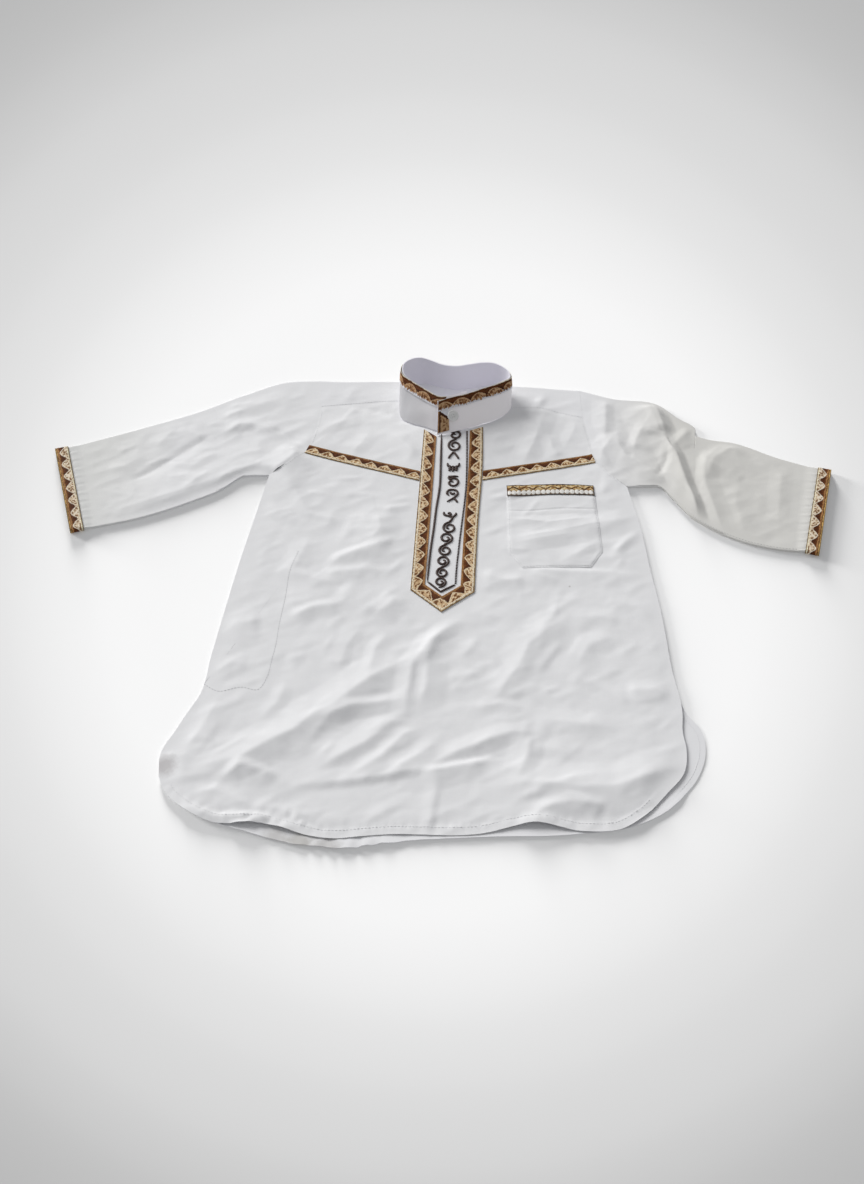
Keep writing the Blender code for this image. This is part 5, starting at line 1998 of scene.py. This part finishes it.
@dataclass
class Collar:
    """The standing band with its trim, the strip down its buttoned end, and its button."""

    cloth: Material
    lining: Material
    tape: Material
    shell: Material
    stations: int = 340
    rows: int = 16
    start: float = 22.0
    strip: float = 10.0
    bow: float = 0.5
    button_radius: float = 5.7
    button_height: float = 2.2
    hole_at: float = 1.15
    hole_radius: float = 0.35
    hole_depth: float = 0.9
    cut: tuple[float, float] = (0.40, 0.037)
    foot: Array = field(init=False)
    rim: Array = field(init=False)

    def __post_init__(self) -> None:
        """Works out the band's foot and rim.

        The foot stands on the front and the shoulders' wraps, and sinks to the back's level behind
        the neck: a soft step of the distance from the middle, for the part behind the shoulders.
        """
        foot = along([(b.base_x, b.base_y) for b in COLLAR], self.stations)
        x, y = foot.T
        behind = smooth_step((y + 22) / 6) * (1 - smooth_step((np.abs(x) - 47.5) / 4))
        on = LIE.on_front(x, y) * (1 - behind) + (LOWER + WALL / 2) * behind
        lap = np.linspace(0, 1, self.stations) > 0.75
        self.rim = along([(b.rim_x, b.rim_y, b.rim_z) for b in COLLAR], self.stations)
        lean = np.linalg.norm(self.rim[:, :2] - foot, axis=1) / self.rim[:, 2]
        lift = 0.2 + lean * BAND_WALL / 2 + 1.2 * lap * smooth_step(1 - np.abs(x) / 22)
        self.foot = np.column_stack([foot, on + lift])

    def out(self) -> Array:
        """Direction out of the band: its rise crossed with its run.

        Returns:
            The direction at each station.
        """
        run = np.gradient(self.foot, axis=0) + np.gradient(self.rim, axis=0)
        out = np.cross(self.rim - self.foot, run)
        return out / np.linalg.norm(out, axis=1)[:, None]

    def build_band(self) -> None:
        """Builds the band: straight rows from foot to rim, bowed out a little at half height."""
        points = between(self.foot, self.rim, self.rows)
        v = np.linspace(0, 1, self.rows + 1)[:, None, None]
        s = np.linspace(0, 1, self.stations)[None, :, None]
        bow = (self.bow + 0.25 * np.sin(v * 7 + s * 41)) * np.sin(np.pi * v)
        points = (points + self.out()[None] * bow)[::-1]
        grid = Grid(points, flat_chart(points))
        piece = Workshop.piece("collar_band", [grid], self.cloth, Slot.COLLAR, "collar", BAND_WALL, 0.0,
                               self.lining)
        Workshop.sheet(piece, [grid], 4, flat=self.cut, rests_on=["front_panel", "back_panel"])

    def paint_end(self, u: Array, w: Array) -> tuple[Array, Array]:
        """The end strip's ornament: speckled tan with a white wedge at its top and a dark line down its end.

        Args:
            u: Distance from the band's end.
            w: Distance below the trim along the rim.

        Returns:
            The height in millimetres, and the colour.
        """
        colour = COLLAR_ORNAMENT.speckled(u, w, (0.68, 0.54, 0.39), 91)
        height = 0.3 + 0.1 * ripple(u, w, 1.1, 92)
        slope = (u - 1.8) / (self.strip - 2.0) - w / 8.0
        inside = w < 10
        Ornament.lay(colour, inside & (slope > -0.36), (0.27, 0.15, 0.08), 0.3 * ripple(u, w, 0.9, 93))
        Ornament.lay(colour, inside & (slope > 0), WHITE, 0.03 * ripple(u, w, 1.5, 94))
        line = (u > 0.9) & (u < 2.3)
        Ornament.lay(colour, line, (0.29, 0.18, 0.10), 0.2 * ripple(u, w, 0.9, 95))
        Ornament.lay(colour, u <= 0.9, (0.66, 0.50, 0.35), 0.2 * ripple(u, w, 0.9, 96))
        return np.where(inside & (slope > 0), 0.1, np.where(line, 0.45, height)), colour

    def build_trim(self) -> None:
        """Builds the trim along the rim, outside, and the strip down the buttoned end."""
        out = self.out()
        length = np.concatenate([[0], np.cumsum(np.linalg.norm(np.diff(self.rim, axis=0), axis=1))])
        rise = np.linalg.norm(self.rim - self.foot, axis=1)
        down = (self.foot - self.rim) / rise[:, None]
        behind = smooth_step((self.rim[:, 1] + 34) / 16)

        def face(s: Array, t: Array, relief: Array, colour: Array) -> Grid:
            """A stretch of tape on the band.

            Args:
                s: Lengths along the rim.
                t: Distances down from it.
                relief: Height of the ornament.
                colour: Its colour.

            Returns:
                The grid of its outer face.
            """
            spot = np.stack([np.interp(s, length, self.rim[:, k]) for k in range(3)], -1)
            fall = np.stack([np.interp(s, length, down[:, k]) for k in range(3)], -1)
            away = np.stack([np.interp(s, length, out[:, k]) for k in range(3)], -1)
            chart = np.stack([s - s.min(), t], -1)
            reach = BAND_WALL / 2 + 0.1 + TAPE_WALL + 0.75 * np.sin(math.pi * (t / rise.mean()).clip(0, 1))
            points = spot + fall * t[..., None] + away * (reach + 0.75 * relief)[..., None]
            return Grid(points[::-1], chart[::-1], colour[::-1])

        end = length[-1] - 0.3
        s, t = np.meshgrid(np.arange(self.start, end, 0.5), np.linspace(0.4, COLLAR_TRIM_WIDTH, 28))
        hidden = 1.1 * np.interp(s, length, behind)
        grids = [face(s, t + hidden * (1 - t / COLLAR_TRIM_WIDTH), *COLLAR_ORNAMENT.paint(s, t))]
        foot = float(rise[-1]) - 1.2
        s, t = np.meshgrid(np.linspace(end - self.strip, end, 24),
                           np.arange(COLLAR_TRIM_WIDTH + 0.1, foot, 0.5))
        grids.append(face(s, t, *self.paint_end(end - s, t - COLLAR_TRIM_WIDTH)))
        Workshop.piece("collar_trim_tape", grids, self.tape, Slot.TRIM, "collar_trim", TAPE_WALL, -1.0)

    def build_button(self) -> None:
        """Builds the button: a turned disc with a raised edge and four holes, lying on the band."""
        low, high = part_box("collar_button")
        middle = np.array((low + high) / 2) / MM - (*Workshop.shift, 0)
        near = int(np.argmin(np.linalg.norm(self.foot[self.stations // 2:, :2] - middle[:2], axis=1)))
        up = self.out()[self.stations // 2 + near]
        side = np.cross(up, [0.0, 0.0, 1.0])
        side /= np.linalg.norm(side)
        rise = np.cross(up, side)
        radius = self.button_radius
        profile = np.array([(0.01, 0), (0.8, 0), (1, 0.7), (1, 1.5), (0.93, 2.1), (0.84, 2.2), (0.74, 1.9)])
        ring = np.linspace(0.68, 0.012, 22)
        r = np.concatenate([profile[:, 0], ring]) * radius
        z = np.concatenate([profile[:, 1], 1.45 + 0.25 * (ring / 0.68) ** 4])
        angle = np.linspace(0, math.tau, 64, endpoint=False)
        x, y = r[:, None] * np.cos(angle), r[:, None] * np.sin(angle)
        hole = np.minimum.reduce([
            np.hypot(x - a * self.hole_at, y - b * self.hole_at) for a in (-1, 1) for b in (-1, 1)])
        inner = (np.arange(len(r)) >= len(profile))[:, None]
        z = z[:, None] - self.hole_depth * inner * (1 - smooth_step(hole / self.hole_radius - 1))
        centre = middle - up * self.button_height / 2
        points = centre + x[..., None] * side + y[..., None] * rise + z[..., None] * up
        grid = Grid(points, flat_chart(points, True), ring=True)
        Workshop.piece("button", [grid], self.shell, Slot.BUTTON, "collar_button")


@dataclass
class Stitching:
    """Rows of stitches along the seams, the hem, the pocket and the pocket bag in the side seam."""

    finish: Material
    shaded: Material
    pocket: Pocket
    pitch: float = 2.9
    length: float = 2.0
    radius: float = 0.16
    hem_inset: float = 7.0
    vent_inset: float = 5.0
    underarm_inset: float = 2.1
    seam_inset: float = 1.6
    bag: tuple[Edge, ...] = (
        Edge(-137, -249), Edge(-142, -272), Edge(-143, -305), Edge(-145, -344), Edge(-145, -356),
        Edge(-147, -381), Edge(-149, -399), Edge(-155, -412), Edge(-169, -410), Edge(-189, -415),
        Edge(-203, -407))

    def row(self, line: Array, height: Callable[[Array, Array], Array]) -> Array:
        """Stitches along a line.

        Args:
            line: Points of the line in plan.
            height: The surface that the stitches lie on.

        Returns:
            Middle and half-length vector of each stitch.
        """
        total = float(np.linalg.norm(np.diff(line, axis=0), axis=1).sum())
        spots = evenly(line, max(2, int(total / self.pitch)) * 2 + 1)
        start, end = spots[:-1:2], spots[1::2]
        middle = (start + end) / 2
        run = (end - start) / np.linalg.norm(end - start, axis=1)[:, None]
        z = height(middle[:, 0], middle[:, 1])
        ahead = height(middle[:, 0] + run[:, 0], middle[:, 1] + run[:, 1]) - z
        half = np.column_stack([run, ahead]) * self.length / 2
        return np.stack([np.column_stack([middle, z + 0.1]), half], 1)

    def grids(self, stitches: Array) -> list[Grid]:
        """Grids of stitches: five rings of six corners each, pointed at both ends.

        Args:
            stitches: Middle and half-length vector of each.

        Returns:
            One closed grid for each.
        """
        share = np.array([-1, -0.8, 0, 0.8, 1])[None, :, None, None]
        thick = np.array([0.02, 0.8, 1, 0.8, 0.02])[None, :, None, None] * self.radius
        angle = np.linspace(0, math.tau, 6, endpoint=False)[None, None, :, None]
        middle, half = stitches[:, 0][:, None, None], stitches[:, 1][:, None, None]
        side = np.cross([0.0, 0.0, 1.0], half)
        side = side / np.linalg.norm(side, axis=-1, keepdims=True)
        up = np.array([0.0, 0.0, 1.0])
        rings = middle + half * share + thick * (np.cos(angle) * side + np.sin(angle) * up)
        chart = np.stack(np.meshgrid(np.arange(7) * 0.3, np.arange(5) * 0.5), -1)
        return [Grid(ring, chart, ring=True) for ring in rings]

    def inset(self, line: Array, amount: float) -> Array:
        """A line moved to its left.

        Args:
            line: Its points in plan.
            amount: How far.

        Returns:
            The points, moved.
        """
        run = np.gradient(line, axis=0)
        run /= np.linalg.norm(run, axis=1)[:, None]
        return line + np.column_stack([-run[:, 1], run[:, 0]]) * amount

    def build(self) -> None:
        """Builds each row of stitches on the surface that it is sewn to."""
        hem = self.inset(along(FRONT_HEM, 240), self.hem_inset)[6:-6]
        pocket = self.inset(evenly([POCKET_TOP[0], *POCKET_BOTTOM, POCKET_TOP[1]], 160), self.seam_inset)
        corner = joined(along(BACK_HEM, 160)[-40:], side_curve(BACK_SIDES, "left", 60)[:26])
        vent = self.inset(corner, self.vent_inset)
        shoulder = [self.inset(along(seam, 40), self.seam_inset) for seam in (SEAM_RIGHT, SEAM_LEFT)]
        armholes = [self.inset(along(armhole, 60), side * self.seam_inset)
                    for armhole, side in ((ARMHOLE_RIGHT, 1), (ARMHOLE_LEFT, -1))]

        def lower(x: Array, y: Array) -> Array:
            """Upper face of the back where it shows at the vent."""
            return 0 * x + LOWER + WALL / 2

        def sleeve(x: Array, y: Array) -> Array:
            """Upper face of a sleeve near its underarm seam, where it is calm."""
            return 0 * x + UPPER + WALL / 2

        seam = along([(s.under_x, s.under_y) for s in SLEEVE_LEFT[4:]], 90)
        underarm = self.inset(seam, self.underarm_inset)
        rows = {
            "hem_stitches": [self.row(hem, LIE.on_front)],
            "pocket_stitches": [self.row(pocket, self.pocket.surface)],
            "vent_stitches": [self.row(vent, lower)],
            "shoulder_stitches": [self.row(line, LIE.on_front) for line in shoulder],
            "armhole_stitches": [self.row(line[4:-6], LIE.on_front) for line in armholes],
            "side_pocket_stitches": [self.row(along(self.bag, 160), LIE.on_front)],
            "underarm_stitches": [self.row(underarm, sleeve)],
        }
        for name, parts in rows.items():
            # The side pocket and underarm rows take the grey thread, which paints the shade along those seams
            thread = self.shaded if name in ("side_pocket_stitches", "underarm_stitches") else self.finish
            Workshop.piece(name, self.grids(np.concatenate(parts)), thread, Slot.CLOTH)


class Low(NamedTuple):
    """A low lamp for the floor: its share of the light, where it shines from, and its softness."""

    share: float
    source: Point
    softness: float


@dataclass
class Studio:
    """The floor, the lights and the camera."""

    lens: float = 47.0
    eye: Point = (31.0, -1226.0, 1040.0)
    heading: tuple[float, float] = (-0.04536, 0.99897)
    pitch: float = 48.0
    key: float = 2.75
    key_from: Point = (-0.62, 0.60, 0.50)
    softness: float = 32.0
    low: tuple[Low, ...] = (
        Low(0.42, (-0.24, 0.95, 0.14), 15.0),
        Low(0.22, (-0.86, 0.46, 0.13), 17.0),
    )
    lamp_colour: Colour = (1.0, 0.995, 0.985)
    sky: float = 0.365
    sky_colour: Colour = (0.97, 0.98, 1.0)
    floor: float = 6.0

    def look(self) -> Vector:
        """Direction that the camera looks in."""
        level, fall = math.cos(math.radians(self.pitch)), math.sin(math.radians(self.pitch))
        return Vector((self.heading[0] * level, self.heading[1] * level, -fall))

    def camera(self) -> None:
        """Sets the camera at the height and angle that the garment is seen from."""
        data = bpy.data.cameras.new("view")
        data.lens = self.lens
        data.sensor_width = 36.0
        made = bpy.data.objects.new("view", data)
        bpy.context.collection.objects.link(made)
        made.location = Workshop.placed(*self.eye)
        made.rotation_euler = self.look().to_track_quat("-Z", "Y").to_euler()
        bpy.context.scene.camera = made

    def lamp(self, name: str, energy: float, source: Point, softness: float,
             lit: Sequence[bpy.types.Object]) -> None:
        """Adds a wide soft lamp, far enough to fall evenly.

        Args:
            name: Its name.
            energy: Its strength.
            source: The direction that it shines from.
            softness: Its width as an angle in degrees.
            lit: What it shines on.
        """
        data = bpy.data.lights.new(name, "SUN")
        data.angle = math.radians(softness)
        data.energy = energy
        data.color = self.lamp_colour
        made = bpy.data.objects.new(name, data)
        bpy.context.collection.objects.link(made)
        made.rotation_euler = (-Vector(source)).to_track_quat("-Z", "Y").to_euler()
        made.light_linking.receiver_collection = bpy.data.collections.new(name)
        for piece in lit:
            made.light_linking.receiver_collection.objects.link(piece)

    def build(self) -> None:
        """Builds the floor, a lamp for the shirt and low ones for the floor, the sky and the camera."""
        light = sum(lamp.share for lamp in self.low) + self.sky
        # The floor's pool of light is painted, centred on the camera's line of sight
        finish = FloorFinish("paper", Workshop.placed(*self.eye), tuple(self.look()), light)
        mesh = bpy.data.meshes.new("floor")
        far = self.floor
        mesh.from_pydata([(-far, -far, 0), (far, -far, 0), (far, far, 0), (-far, far, 0)], [], [(0, 1, 2, 3)])
        mesh.materials.append(finish.material())
        floor = bpy.data.objects.new("floor", mesh)
        bpy.context.collection.objects.link(floor)
        self.lamp("key", self.key, self.key_from, self.softness, Workshop.pieces)
        for number, lamp in enumerate(self.low):
            grazing = lamp.share * math.pi / Vector(lamp.source).normalized().z
            self.lamp(f"low_{number}", grazing, lamp.source, lamp.softness, [floor])
        world = bpy.data.worlds.new("sky")
        world.use_nodes = True
        background = world.node_tree.nodes["Background"]
        background.inputs["Color"].default_value = (*self.sky_colour, 1)
        background.inputs["Strength"].default_value = self.sky
        bpy.context.scene.world = world
        bpy.context.scene.view_settings.view_transform = "Standard"
        self.camera()


def find_shift() -> tuple[float, float]:
    """How far the shirt's own axes lie from the frame's, read off the low corner of the back's box.

    Returns:
        The distances along x and y.
    """
    plan, _ = Back.outline(130, 70, (70, 60, 70))
    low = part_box("back")[0]
    return float(low.x / MM - plan[..., 0].min()), float(low.y / MM - plan[..., 1].min())


def main() -> None:
    """Builds the shirt piece by piece, then the studio round it."""
    logging.basicConfig(level=logging.INFO, format="%(name)s: %(message)s")
    Workshop.shift = find_shift()
    log.info("shift %.2f, %.2f", *Workshop.shift)
    # The front's marks: a real fleck, and a patch of painted shade at its left hem corner
    white = ClothFinish("white_cotton", (0.845, 0.845, 0.855), marks=FLECK_AND_PAINTED_SHADE).material()
    # Back: painted shade on its strip below the front's hem, and a painted lavender glow in the neck opening,
    # where the collar's shade falls
    plain = ClothFinish("white_cotton_back", (0.845, 0.845, 0.86), marks=BACK_PAINTED_SHADE, through=0.14,
                        aglow=Spot(0.0, -42.0, 40.0, (0.90, 0.885, 0.95), 1.0)).material()
    strip = ClothFinish("white_cotton_placket", (0.845, 0.845, 0.86)).material()
    # Painted shade: each sleeve's colour darkens towards its cuff
    right = ClothFinish("white_cotton_right_sleeve", (0.85, 0.85, 0.86), far=(0.76, 0.76, 0.745),
                        span=(-270, -345)).material()
    left = ClothFinish("white_cotton_left_sleeve", (0.845, 0.845, 0.86), far=(0.71, 0.70, 0.67),
                       span=(132, 222)).material()
    # Collar outside: a mid grey on its left drifting to near white on its right is painted shade and painted
    # light, with a faint painted glow
    crisp = ClothFinish("collar_cotton", (0.50, 0.498, 0.515), pitch=0.0005, roughness=0.68,
                        far=(0.94, 0.91, 0.93), span=(-52, 8), through=0.075).material()
    # Collar lining: its lavender grey is painted shade of the collar's inside, with a faint painted glow
    lining = ClothFinish("collar_lining", (0.78, 0.765, 0.825), pitch=0.0005, roughness=0.7,
                         through=0.085).material()
    tape = TapeFinish("woven_trim").material()
    dark = ThreadFinish("dark_thread", tuple(linear((0.24, 0.16, 0.13)))).material()
    sewing = ThreadFinish("white_thread", (0.88, 0.88, 0.89), 0.5).material()
    # Grey thread: painted shade along the side pocket's and the underarm's stitched lines
    shaded = ThreadFinish("shaded_thread", (0.50, 0.50, 0.51), 0.5).material()
    shell = ButtonFinish("shell_button", (0.86, 0.86, 0.85)).material()

    Back(plain).build()
    Front(white).build()
    for sleeve, cuff in (
        (Sleeve(right, "sleeve_right", SLEEVE_RIGHT, ARMHOLE_RIGHT, TIP_RIGHT, -1), "cuff_trim_right"),
        (Sleeve(left, "sleeve_left", SLEEVE_LEFT, ARMHOLE_LEFT, TIP_LEFT, 1, rows=160, armhole_columns=76),
         "cuff_trim_left"),
    ):
        sleeve.build()
        CuffTrim(tape, cuff, sleeve).build()
    placket = Placket(strip, tape)
    placket.build_panel()
    placket.build_trim()
    Scrolls(dark, placket).build()
    pocket = Pocket(white, tape)
    pocket.build_panel()
    pocket.build_trim()
    ChestTrim(tape, "chest_trim_right", CHEST_TRIM_RIGHT, -30.0).build()
    ChestTrim(tape, "chest_trim_left", CHEST_TRIM_LEFT, 30.9).build()
    collar = Collar(crisp, lining, tape, shell)
    collar.build_band()
    collar.build_trim()
    collar.build_button()
    Stitching(sewing, shaded, pocket).build()
    Workshop.declare(SEWN_ON)
    Studio().build()
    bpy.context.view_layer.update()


if __name__ == "__main__":
    main()
